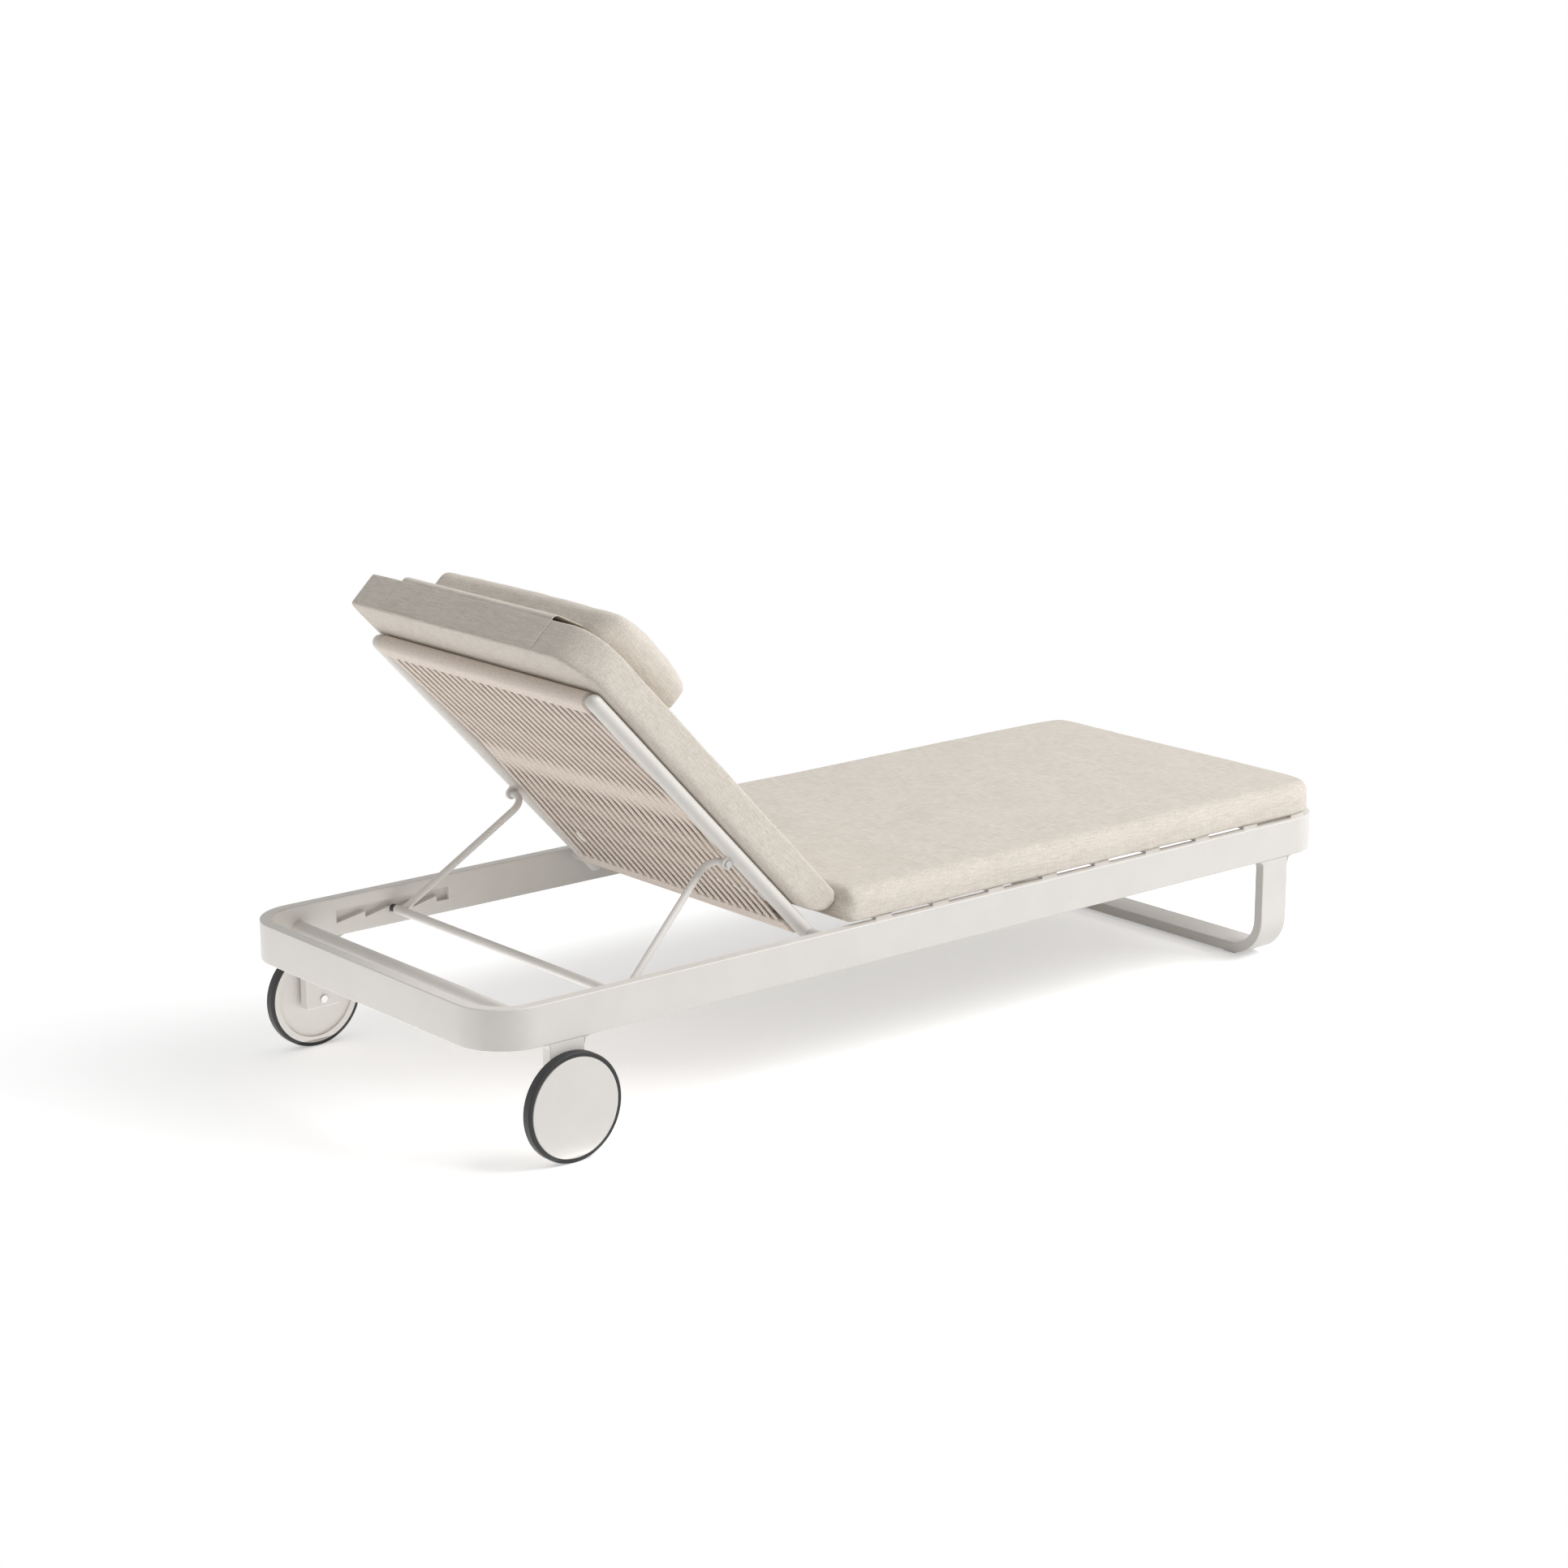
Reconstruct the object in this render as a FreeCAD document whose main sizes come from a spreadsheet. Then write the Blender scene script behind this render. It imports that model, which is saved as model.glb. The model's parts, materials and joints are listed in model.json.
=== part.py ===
"""A sun lounger on a welded flat-bar frame: a sled leg at the foot, two wheels at the head,
a tilting backrest with a slit rope sling, a ratchet stay that props it, and loose cushions.

Millimetres. X runs across the bed, Y from the foot (-) to the head (+), Z up from the floor.
Left is +X, right is -X. The backrest's pieces are drawn lying flat, in a frame of their own
whose origin is the tilt pivot: X across, Y along the tubes, Z towards the sitter.
"""
import FreeCAD
import Part
import math
import os
import re

from FreeCAD import Placement, Rotation, Vector

SIZES = {
    # Frame of flat bar
    "frame_length": 2048.0,
    "frame_width": 770.0,
    "frame_top": 280.6,
    "rail_height": 72.1,
    "rail_thick": 22.0,
    "corner_radius": 95.0,
    "end_run": 20.0,
    "edge_round": 2.0,
    "flare_radius": 12.0,
    # Sled leg and its glides
    "sled_from_foot": 157.0,
    "sled_width": 71.0,
    "sled_thick": 20.0,
    "sled_bend": 80.0,
    "glide_height": 6.0,
    "glide_long": 30.0,
    "glide_wide": 44.0,
    # Tube across the head end
    "head_tube_from_head": 109.0,
    "head_tube_above_rail_foot": 30.0,
    # Slats under the seat
    "slat_count": 9.0,
    "slat_width": 38.0,
    "slat_thick": 6.0,
    "slat_end_inset": 12.0,
    "first_slat_from_pivot": 134.4,
    "last_slat_from_foot": 83.6,
    # Wheels on their brackets
    "wheel_from_head": 156.0,
    "bracket_width": 71.0,
    "bracket_below_axle": 15.0,
    "wheel_radius": 95.8,
    "tyre_depth": 7.4,
    "tyre_width": 18.0,
    "tyre_round": 3.0,
    "wheel_gap": 2.0,
    "disc_thick": 16.0,
    "disc_rim": 11.0,
    "disc_recess": 4.0,
    "hub_radius": 24.0,
    "hub_web": 8.5,
    "cap_thick": 3.5,
    "cap_inset": 1.0,
    "axle_radius": 6.0,
    "axle_head_radius": 14.0,
    "axle_head_thick": 5.0,
    "axle_end_radius": 7.0,
    "axle_end_thick": 3.0,
    "running_clearance": 0.05,
    "axial_clearance": 0.5,
    # Backrest tubes and bars
    "back_tilt": 46.4,
    "pivot_from_head": 731.6,
    "pivot_below_top": 12.7,
    "tube_radius": 14.0,
    "tube_wall": 2.0,
    "tube_side_gap": 32.0,
    "tube_below_pivot": 16.0,
    "tube_above_pivot": 667.0,
    "cap_spigot": 15.0,
    "bar_radius": 9.5,
    "bottom_bar_from_pivot": 17.0,
    "pivot_pin_radius": 5.0,
    "pivot_pin_depth": 10.0,
    "spacer_radius": 10.0,
    "seat_clearance": 0.3,
    # Rope sling
    "sling_thick": 5.4,
    "sling_side_gap": 1.0,
    "sling_fit": 0.1,
    "slit_width": 7.0,
    "slit_pitch": 23.0,
    "slit_end_margin": 20.0,
    # Stay that props the backrest
    "stay_pin_from_pivot": 239.5,
    "stay_pin_behind": 22.5,
    "stay_pin_radius": 5.0,
    "stay_rod_radius": 6.5,
    "stay_run_in": 45.0,
    "stay_bend": 28.0,
    "stay_foot_from_rail": 30.0,
    "stay_bolt_radius": 5.5,
    "stay_bolt_thick": 3.5,
    "tab_thick": 6.0,
    "tab_radius": 10.5,
    "crossbar_radius": 8.0,
    "crossbar_shoulder": 13.0,
    "crossbar_spigot_radius": 4.0,
    "sleeve_radius": 7.0,
    "sleeve_gap": 0.6,
    # Ratchet pockets in the side rails
    "ratchet_count": 5.0,
    "ratchet_pitch": 52.5,
    "ratchet_first_wall_from_head": 409.0,
    "ratchet_foot_room": 27.0,
    "ratchet_head_extra": 10.0,
    "ratchet_floor_above_rail_foot": 24.0,
    "ratchet_tooth": 11.5,
    "ratchet_height": 24.5,
    "ratchet_depth": 12.0,
    "rest_notch": 3.0,
    # Seat cushion
    "seat_cushion_inset": 4.0,
    "seat_cushion_thick": 60.0,
    "seat_cushion_crown": 5.0,
    "seat_end_before_pivot": 5.0,
    "seat_end_slope": 72.0,
    "seat_end_lift": 26.0,
    "seat_end_lift_long": 62.0,
    # Back cushion, head pillow and its strap
    "back_cushion_side_gap": 28.0,
    "back_cushion_thick": 68.0,
    "back_cushion_crown": 4.0,
    "back_cushion_foot": 38.0,
    "back_cushion_head": 760.0,
    "cushion_corner": 75.0,
    "cushion_side_round": 9.0,
    "cushion_draw_in": 4.0,
    "pillow_width": 566.0,
    "pillow_long": 209.0,
    "pillow_below_head": 54.0,
    "pillow_thick": 62.0,
    "pillow_crown": 20.0,
    "pillow_corner": 45.0,
    "pillow_side_round": 16.0,
    "strap_width": 444.0,
    "strap_thick": 2.6,
    "strap_drop": 62.0,
    # One overrun serves every cut
    "overrun": 5.0,
}

doc = FreeCAD.newDocument("sun_lounger")
sheet = doc.addObject("Spreadsheet::Sheet", "Sizes")
for row, (alias, number) in enumerate(SIZES.items(), start=1):
    sheet.set(f"A{row}", alias)
    sheet.set(f"B{row}", str(number))
    sheet.setAlias(f"B{row}", alias)
doc.recompute()

SIDES = {"left": 1, "right": -1}
ALONG_X = Rotation(Vector(0, 1, 0), 90)
ALONG_Y = Rotation(Vector(1, 0, 0), -90)
ALONG_Z = Rotation()
# Where a cushion's sections stand: along its straight sides, then round its corners
SIDE_SHARES = (0, 0.5, 1)
CORNER_SHARES = (0.25, 0.45, 0.62, 0.77, 0.9, 1)
END_HEIGHT_SHARE = 0.5
# An edge counts as running along an axis when this much of its length does
STRAIGHT_SHARE = 0.999
parts = []


def size(alias):
    """The number in the sheet's cell of that name."""
    return float(sheet.get(alias))


def bind(obj, prop, text):
    """Ties a property to a sum of the sheet's aliases."""
    def in_sheet(word):
        return f"Sizes.{word.group()}" if word.group() in SIZES else word.group()
    obj.setExpression(prop, re.sub(r"[a-z_]+", in_sheet, text))


def place(obj, at, turn=ALONG_Z):
    """Puts an object's own origin at a point given as three sums, turned by a fixed rotation."""
    obj.Placement = Placement(Vector(), turn)
    for axis, text in zip("xyz", at):
        bind(obj, f"Placement.Base.{axis}", text)
    return obj


def box(name, at, long, wide, high):
    obj = doc.addObject("Part::Box", name)
    bind(obj, "Length", long)
    bind(obj, "Width", wide)
    bind(obj, "Height", high)
    return place(obj, at)


def rod(name, at, radius, long, turn=ALONG_X):
    obj = doc.addObject("Part::Cylinder", name)
    bind(obj, "Radius", radius)
    bind(obj, "Height", long)
    return place(obj, at, turn)


def fuse(name, shapes):
    obj = doc.addObject("Part::MultiFuse", name)
    obj.Shapes = shapes
    return obj


def cut(name, base, *tools):
    obj = doc.addObject("Part::Cut", name)
    obj.Base = base
    obj.Tool = tools[0] if len(tools) == 1 else fuse(f"{name}_tools", list(tools))
    return obj


def group(name, members):
    obj = doc.addObject("Part::Compound", name)
    obj.Links = members
    return obj


def solid(name, shape):
    """A shape made by Part's own functions, as an object of the document."""
    obj = doc.addObject("Part::Feature", name)
    obj.Shape = shape
    return obj


def rounded(name, base, radius, wanted):
    """Fillets the edges of base that wanted(edge) picks."""
    doc.recompute()
    obj = doc.addObject("Part::Fillet", name)
    obj.Base = base
    obj.Edges = [(i, radius, radius) for i, e in enumerate(base.Shape.Edges, start=1) if wanted(e)]
    return obj


def runs_along(axis):
    """True for a straight edge along that axis."""
    def test(edge):
        ends = [v.Point for v in edge.Vertexes]
        if len(ends) != 2:
            return False
        return abs((ends[1] - ends[0]).dot(axis)) > STRAIGHT_SHARE * edge.Length > 0
    return test


def below_rail(edge):
    """True for an edge that isn't in the plane of the rails' underside."""
    return edge.CenterOfMass.z < RAIL_FOOT - size("edge_round") / 2


def keep(obj, label, placement=None):
    """Registers a finished sub-part under its label."""
    obj.Label = label
    if placement is not None:
        obj.Placement = placement
    parts.append(obj)
    return obj


# Places that several pieces share
HALF_WIDTH = size("frame_width") / 2
HALF_LENGTH = size("frame_length") / 2
RAIL_FOOT = size("frame_top") - size("rail_height")
INNER_FACE = HALF_WIDTH - size("rail_thick")
TUBE_X = INNER_FACE - size("tube_side_gap") - size("tube_radius")
PIVOT = Vector(0, HALF_LENGTH - size("pivot_from_head"), size("frame_top") - size("pivot_below_top"))
BACK = Placement(PIVOT, Rotation(Vector(1, 0, 0), size("back_tilt")))
SLING_RADIUS = size("bar_radius") + size("sling_fit") + size("sling_thick")
WHEEL_Y = HALF_LENGTH - size("wheel_from_head")
SEAT_TOP = size("frame_top") + size("slat_thick")
SPLIT_Y = "(frame_length / 2 - corner_radius - end_run)"
RAIL_FOOT_SUM = "frame_top - rail_height"


def end_rail(label, end):
    """The bar across one end of the frame, bent round both corners. end is +1 at the head."""
    def block(name, inset, radius, over):
        depth = f"corner_radius + end_run - ({inset}) + ({over})"
        low = f"-frame_length / 2 + ({inset})"
        if end > 0:
            low = f"frame_length / 2 - corner_radius - end_run - ({over})"
        body = box(name, (f"-frame_width / 2 + ({inset})", low, f"{RAIL_FOOT_SUM} - ({over})"),
                   f"frame_width - 2 * ({inset})", depth, f"rail_height + 2 * ({over})")
        doc.recompute()
        corner_y = body.Shape.BoundBox.YMax if end > 0 else body.Shape.BoundBox.YMin
        upright = runs_along(Vector(0, 0, 1))
        return rounded(f"{name}_bent", body, radius,
                       lambda e: upright(e) and abs(e.CenterOfMass.y - corner_y) < size("edge_round"))
    outer = block(f"{label}_outer", "0", size("corner_radius"), "0")
    inner = block(f"{label}_inner", "rail_thick", size("corner_radius") - size("rail_thick"), "overrun")
    bar = cut(f"{label}_bar", outer, inner)
    doc.recompute()
    top, foot = size("frame_top"), RAIL_FOOT
    split = end * (HALF_LENGTH - size("corner_radius") - size("end_run"))

    def long_edge(edge):
        mid = edge.CenterOfMass
        level = min(abs(mid.z - top), abs(mid.z - foot)) < size("edge_round") / 2
        return level and abs(mid.y - split) > size("edge_round") / 2
    keep(rounded(label, bar, size("edge_round"), long_edge), label)


def ratchet_outline():
    """The toothed pocket's outline in Y and Z: each notch has an upright wall towards the head
    and a ramp that falls to it from the tooth on its foot side."""
    floor = RAIL_FOOT + size("ratchet_floor_above_rail_foot")
    top = floor + size("ratchet_height")
    first_wall = HALF_LENGTH - size("ratchet_first_wall_from_head")
    walls = [first_wall + n * size("ratchet_pitch") for n in range(int(size("ratchet_count")))]
    walls[-1] += size("ratchet_head_extra")
    foot_wall = first_wall - size("ratchet_foot_room")
    points = [(foot_wall, top), (foot_wall, floor)]
    for wall in walls[:-1]:
        points += [(wall, floor), (wall, floor + size("ratchet_tooth"))]
    points += [(walls[-1], floor), (walls[-1], top)]
    return points, walls, floor


def ratchet_pocket(name, side):
    points, _, _ = ratchet_outline()
    inner = side * (INNER_FACE - size("overrun"))
    wire = Part.makePolygon([Vector(inner, y, z) for y, z in points + points[:1]])
    depth = side * (size("ratchet_depth") + size("overrun"))
    return solid(name, Part.Face(wire).extrude(Vector(depth, 0, 0)))


def side_rail(side_name, side):
    """A straight bar with the ratchet pocket and the pivot pin's blind hole in its inner face."""
    label = f"side_rail_{side_name}"
    low_x = "frame_width / 2 - rail_thick" if side > 0 else "-frame_width / 2"
    bar = box(f"{label}_bar", (low_x, f"-{SPLIT_Y}", RAIL_FOOT_SUM),
              "rail_thick", f"2 * {SPLIT_Y}", "rail_height")
    eased = rounded(f"{label}_eased", bar, size("edge_round"), runs_along(Vector(0, 1, 0)))
    hole_x = "frame_width / 2 - rail_thick - overrun" if side > 0 else \
        "-frame_width / 2 + rail_thick - pivot_pin_depth"
    hole_at = (hole_x, "frame_length / 2 - pivot_from_head", "frame_top - pivot_below_top")
    hole = rod(f"{label}_hole", hole_at, "pivot_pin_radius", "pivot_pin_depth + overrun")
    keep(cut(label, eased, ratchet_pocket(f"{label}_pocket", side), hole), label)


def flare(name, at_x, at_y, thick, away):
    """The small hollow fillet where an upright bar meets the rail above it. away is +1 headwards."""
    low_y = at_y if away > 0 else f"{at_y} - flare_radius"
    block = box(f"{name}_block", (at_x, low_y, f"{RAIL_FOOT_SUM} - flare_radius"),
                thick, "flare_radius", "flare_radius")
    centre_y = f"{at_y} + flare_radius" if away > 0 else low_y
    round_cut = rod(f"{name}_round", (f"{at_x} - overrun", centre_y, f"{RAIL_FOOT_SUM} - flare_radius"),
                    "flare_radius", f"{thick} + 2 * overrun")
    return cut(name, block, round_cut)


def foot_sled():
    """One flat bar bent into a U that stands across the foot end."""
    low_y = "-frame_length / 2 + sled_from_foot - sled_width / 2"

    def block(name, inset, radius, over):
        at = (f"-frame_width / 2 + ({inset})", f"{low_y} - ({over})", f"glide_height + ({inset})")
        body = box(name, at, f"frame_width - 2 * ({inset})", f"sled_width + 2 * ({over})",
                   f"{RAIL_FOOT_SUM} - glide_height - ({inset}) + ({over})")
        doc.recompute()
        level = runs_along(Vector(0, 1, 0))
        foot_z = body.Shape.BoundBox.ZMin
        return rounded(f"{name}_bent", body, radius,
                       lambda e: level(e) and abs(e.CenterOfMass.z - foot_z) < size("edge_round"))
    outer = block("sled_outer", "0", size("sled_bend"), "0")
    inner = block("sled_inner", "sled_thick", size("sled_bend") - size("sled_thick"), "overrun")
    bar = cut("sled_bar", outer, inner)
    doc.recompute()
    sides = [bar.Shape.BoundBox.YMin, bar.Shape.BoundBox.YMax]
    eased = rounded("sled_eased", bar, size("edge_round"), lambda e: below_rail(e) and min(
        abs(e.CenterOfMass.y - y) for y in sides) < size("edge_round") / 2)
    flares = []
    for side_name, at_x in (("left", "frame_width / 2 - sled_thick"), ("right", "-frame_width / 2")):
        flares.append(flare(f"sled_flare_{side_name}_foot", at_x, low_y, "sled_thick", -1))
        flares.append(flare(f"sled_flare_{side_name}_head", at_x, f"{low_y} + sled_width", "sled_thick", 1))
    keep(fuse("foot_sled", [eased, *flares]), "foot_sled")


def floor_glides():
    pads = []
    for side_name, side in SIDES.items():
        middle = f"{side} * (frame_width / 2 - sled_bend - glide_long / 2)"
        at = (f"{middle} - glide_long / 2", "-frame_length / 2 + sled_from_foot - glide_wide / 2", "0")
        pads.append(box(f"glide_{side_name}", at, "glide_long", "glide_wide", "glide_height"))
    keep(group("floor_glides", pads), "floor_glides")


def head_cross_tube():
    at = ("-frame_width / 2 + rail_thick", "frame_length / 2 - head_tube_from_head",
          f"{RAIL_FOOT_SUM} + head_tube_above_rail_foot")
    outer = rod("head_tube_outer", at, "tube_radius", "frame_width - 2 * rail_thick")
    bore_at = (f"{at[0]} - overrun", at[1], at[2])
    bore = rod("head_tube_bore", bore_at, "tube_radius - tube_wall",
               "frame_width - 2 * rail_thick + 2 * overrun")
    keep(cut("head_cross_tube", outer, bore), "head_cross_tube")


def seat_slats():
    """Flat bars laid across both side rails, spread evenly between the first and the last."""
    slats = []
    first = "frame_length / 2 - pivot_from_head - first_slat_from_pivot"
    last = "-frame_length / 2 + last_slat_from_foot"
    for n in range(int(size("slat_count"))):
        middle = f"{first} - {n} * ({first} - ({last})) / (slat_count - 1)"
        at = ("-frame_width / 2 + slat_end_inset", f"{middle} - slat_width / 2", "frame_top")
        long = "frame_width - 2 * slat_end_inset"
        slats.append(box(f"slat_{n + 1}", at, long, "slat_width", "slat_thick"))
    keep(group("seat_slats", slats), "seat_slats")


def wheel_bracket(side_name, side):
    """The plate that hangs from the side rail and carries the axle."""
    label = f"wheel_bracket_{side_name}"
    at_x = "frame_width / 2 - rail_thick" if side > 0 else "-frame_width / 2"
    middle = "frame_length / 2 - wheel_from_head"
    foot = "wheel_radius - bracket_below_axle"
    plate = box(f"{label}_plate", (at_x, f"{middle} - bracket_width / 2", foot),
                "rail_thick", "bracket_width", f"{RAIL_FOOT_SUM} - ({foot})")
    eased = rounded(f"{label}_eased", plate, size("edge_round"), below_rail)
    flares = [flare(f"{label}_flare_{n}", at_x, f"{middle} {sign} bracket_width / 2", "rail_thick", away)
              for n, sign, away in (("foot", "-", -1), ("head", "+", 1))]
    body = fuse(f"{label}_body", [eased, *flares])
    hole = rod(f"{label}_hole", (f"{at_x} - overrun", middle, "wheel_radius"),
               "axle_radius", "rail_thick + 2 * overrun")
    keep(cut(label, body, hole), label)


def wheel_set(side_name, side):
    """Disc, tyre, outer cap and axle of one wheel, drawn on the left and turned round for the right."""
    y, z = "frame_length / 2 - wheel_from_head", "wheel_radius"
    inner = "frame_width / 2 + wheel_gap"
    turn = None if side > 0 else Placement(Vector(0, 2 * WHEEL_Y, 0), Rotation(Vector(0, 0, 1), 180))

    def disc(name, start, radius, long):
        return rod(f"{name}_{side_name}", (start, y, z), radius, long)
    rim = "wheel_radius - tyre_depth"
    outer_face = f"{inner} + disc_thick"
    blank = disc("disc_blank", inner, rim, "disc_thick")
    before = f"{inner} - overrun"
    ring = disc("recess_ring", before, f"{rim} - disc_rim", "disc_recess + overrun")
    hub = disc("recess_hub", before, "hub_radius", "disc_recess + overrun")
    recess = cut(f"disc_recess_{side_name}", ring, hub)
    bore = disc("disc_bore", before, "axle_radius + running_clearance", "disc_thick + 2 * overrun")
    pocket = disc("disc_pocket", f"{inner} + hub_web", "axle_head_radius + axial_clearance", "disc_thick")
    keep(cut(f"wheel_disc_{side_name}", blank, recess, bore, pocket), f"wheel_disc_{side_name}", turn)

    blank = disc("tyre_blank", inner, "wheel_radius", "tyre_width")
    doc.recompute()
    eased = rounded(f"tyre_eased_{side_name}", blank, size("tyre_round"), lambda e: e.Closed)
    tyre_bore = disc("tyre_bore", before, rim, "tyre_width + 2 * overrun")
    keep(cut(f"tyre_{side_name}", eased, tyre_bore), f"tyre_{side_name}", turn)

    cap = disc("cap_blank", outer_face, f"{rim} - cap_inset", "cap_thick")
    cap_middle = HALF_WIDTH + size("wheel_gap") + size("disc_thick") + size("cap_thick") / 2
    eased = rounded(f"wheel_cap_{side_name}", cap, size("cap_inset"),
                    lambda e: e.Closed and e.CenterOfMass.x > cap_middle)
    keep(eased, f"wheel_cap_{side_name}", turn)

    shank = disc("axle_shank", "frame_width / 2 - rail_thick", "axle_radius",
                 "rail_thick + wheel_gap + hub_web + axial_clearance")
    head = disc("axle_head", f"{inner} + hub_web + axial_clearance", "axle_head_radius", "axle_head_thick")
    end_at = "frame_width / 2 - rail_thick - axle_end_thick"
    end = disc("axle_end", end_at, "axle_end_radius", "axle_end_thick")
    keep(fuse(f"axle_{side_name}", [shank, head, end]), f"axle_{side_name}", turn)


def back_tube(side_name, side):
    """One side tube of the backrest, drilled for the pivot pin."""
    label = f"back_tube_{side_name}"
    x = f"{side} * (frame_width / 2 - rail_thick - tube_side_gap - tube_radius)"
    outer = rod(f"{label}_outer", (x, "-tube_below_pivot", "0"), "tube_radius",
                "tube_below_pivot + tube_above_pivot", ALONG_Y)
    bore = rod(f"{label}_bore", (x, "-tube_below_pivot - overrun", "0"), "tube_radius - tube_wall",
               "tube_below_pivot + tube_above_pivot + 2 * overrun", ALONG_Y)
    hole = rod(f"{label}_hole", (f"{x} - tube_radius - overrun", "0", "0"),
               "pivot_pin_radius + running_clearance", "2 * tube_radius + 2 * overrun")
    keep(cut(label, outer, bore, hole), label, BACK)


def back_tube_caps():
    """Domed plugs in the four tube ends."""
    caps = []
    for side_name, side in SIDES.items():
        for end_name, y, turn, spigot_y in (
                ("foot", "-tube_below_pivot", Rotation(Vector(1, 0, 0), 90), "-tube_below_pivot"),
                ("head", "tube_above_pivot", ALONG_Y, "tube_above_pivot - cap_spigot")):
            name = f"tube_cap_{side_name}_{end_name}"
            x = f"{side} * (frame_width / 2 - rail_thick - tube_side_gap - tube_radius)"
            dome = doc.addObject("Part::Sphere", f"{name}_dome")
            bind(dome, "Radius", "tube_radius")
            dome.Angle1 = 0
            place(dome, (x, y, "0"), turn)
            long = "cap_spigot"
            if end_name == "foot":
                long = "tube_below_pivot - pivot_pin_radius - axial_clearance"
            spigot = rod(f"{name}_spigot", (x, spigot_y, "0"), "tube_radius - tube_wall", long, ALONG_Y)
            caps.append(fuse(name, [dome, spigot]))
    keep(group("back_tube_caps", caps), "back_tube_caps", BACK)


def back_bar(label, from_pivot):
    """A bar across the backrest, its ends coped to the side tubes and their round ends."""
    at = ("-frame_width / 2 + rail_thick + tube_side_gap + tube_radius", from_pivot, "0")
    long = "frame_width - 2 * (rail_thick + tube_side_gap + tube_radius)"
    bar = rod(f"{label}_bar", at, "bar_radius", long)
    copes = []
    for side_name, side in SIDES.items():
        x = f"{side} * (frame_width / 2 - rail_thick - tube_side_gap - tube_radius)"
        name = f"{label}_cope_{side_name}"
        copes.append(rod(name, (x, "-tube_below_pivot", "0"), "tube_radius",
                         "tube_below_pivot + tube_above_pivot", ALONG_Y))
        ball = doc.addObject("Part::Sphere", f"{name}_ball")
        bind(ball, "Radius", "tube_radius")
        copes.append(place(ball, (x, "tube_above_pivot", "0")))
    keep(cut(label, bar, *copes), label, BACK)


def loop_outline(radius):
    """A belt's outline round the two bars, in Y and Z of the backrest's own frame."""
    low, high = size("bottom_bar_from_pivot"), size("tube_above_pivot")
    foot_arc = Part.Arc(Vector(0, low, radius), Vector(0, low - radius, 0), Vector(0, low, -radius))
    head_arc = Part.Arc(Vector(0, high, -radius), Vector(0, high + radius, 0), Vector(0, high, radius))
    lower = Part.LineSegment(Vector(0, low, -radius), Vector(0, high, -radius))
    upper = Part.LineSegment(Vector(0, high, radius), Vector(0, low, radius))
    return Part.Wire([edge.toShape() for edge in (foot_arc, lower, head_arc, upper)])


def back_sling():
    """Rope bands laid side by side round both bars, as one belt with a slit between each two bands."""
    half = TUBE_X - size("tube_radius") - size("sling_side_gap")
    inner_radius = size("bar_radius") + size("sling_fit")
    across = Vector(2 * half, 0, 0)
    outer, inner = [Part.Face(loop_outline(r)).extrude(across) for r in (SLING_RADIUS, inner_radius)]
    belt = outer.cut(inner).translated(-across / 2)
    count = int((2 * half - size("slit_pitch")) // size("slit_pitch"))
    first = -(count - 1) / 2 * size("slit_pitch")
    low = size("bottom_bar_from_pivot") + size("slit_end_margin")
    high = size("tube_above_pivot") - size("slit_end_margin")
    deep = 2 * SLING_RADIUS + 2 * size("overrun")
    slits = [Part.makeBox(size("slit_width"), high - low, deep,
                          Vector(first + n * size("slit_pitch") - size("slit_width") / 2, low, -deep / 2))
             for n in range(count)]
    keep(solid("back_sling", belt.cut(Part.makeCompound(slits))), "back_sling", BACK)


def stay_tab(side_name, side):
    """The ear behind a side tube that carries one end of the stay."""
    label = f"stay_tab_{side_name}"
    x = f"{side} * (frame_width / 2 - rail_thick - tube_side_gap - tube_radius) - tab_thick / 2"
    ear = rod(f"{label}_ear", (x, "stay_pin_from_pivot", "-stay_pin_behind"), "tab_radius", "tab_thick")
    web = box(f"{label}_web", (x, "stay_pin_from_pivot - tab_radius", "-stay_pin_behind"),
              "tab_thick", "2 * tab_radius", "stay_pin_behind")
    tube = rod(f"{label}_tube", (f"{x} + tab_thick / 2", "stay_pin_from_pivot - 2 * tab_radius", "0"),
               "tube_radius", "4 * tab_radius", ALONG_Y)
    hole = rod(f"{label}_hole", (f"{x} - overrun", "stay_pin_from_pivot", "-stay_pin_behind"),
               "stay_pin_radius + running_clearance", "tab_thick + 2 * overrun")
    keep(cut(label, fuse(f"{label}_body", [ear, web]), tube, hole), label, BACK)


def pivot_fittings():
    """A pin in each side rail on which the backrest turns, and a spacer washer round it."""
    spacers = []
    y, z = "frame_length / 2 - pivot_from_head", "frame_top - pivot_below_top"
    pin_long = "pivot_pin_depth + tube_side_gap + 2 * tube_radius - axial_clearance"
    for side_name, side in SIDES.items():
        start = "frame_width / 2 - rail_thick + pivot_pin_depth"
        low_x = f"{start} - ({pin_long})" if side > 0 else f"-({start})"
        pin = rod(f"pivot_pin_{side_name}", (low_x, y, z), "pivot_pin_radius", pin_long)
        keep(pin, f"pivot_pin_{side_name}")
        face = "frame_width / 2 - rail_thick"
        thick = "tube_side_gap - seat_clearance"
        low_x = f"{face} - ({thick})" if side > 0 else f"-({face})"
        ring = rod(f"spacer_{side_name}_ring", (low_x, y, z), "spacer_radius", thick)
        bore = rod(f"spacer_{side_name}_bore", (f"{low_x} - overrun", y, z),
                   "pivot_pin_radius", f"{thick} + 2 * overrun")
        spacers.append(cut(f"spacer_{side_name}", ring, bore))
    keep(group("pivot_spacers", spacers), "pivot_spacers")


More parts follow.
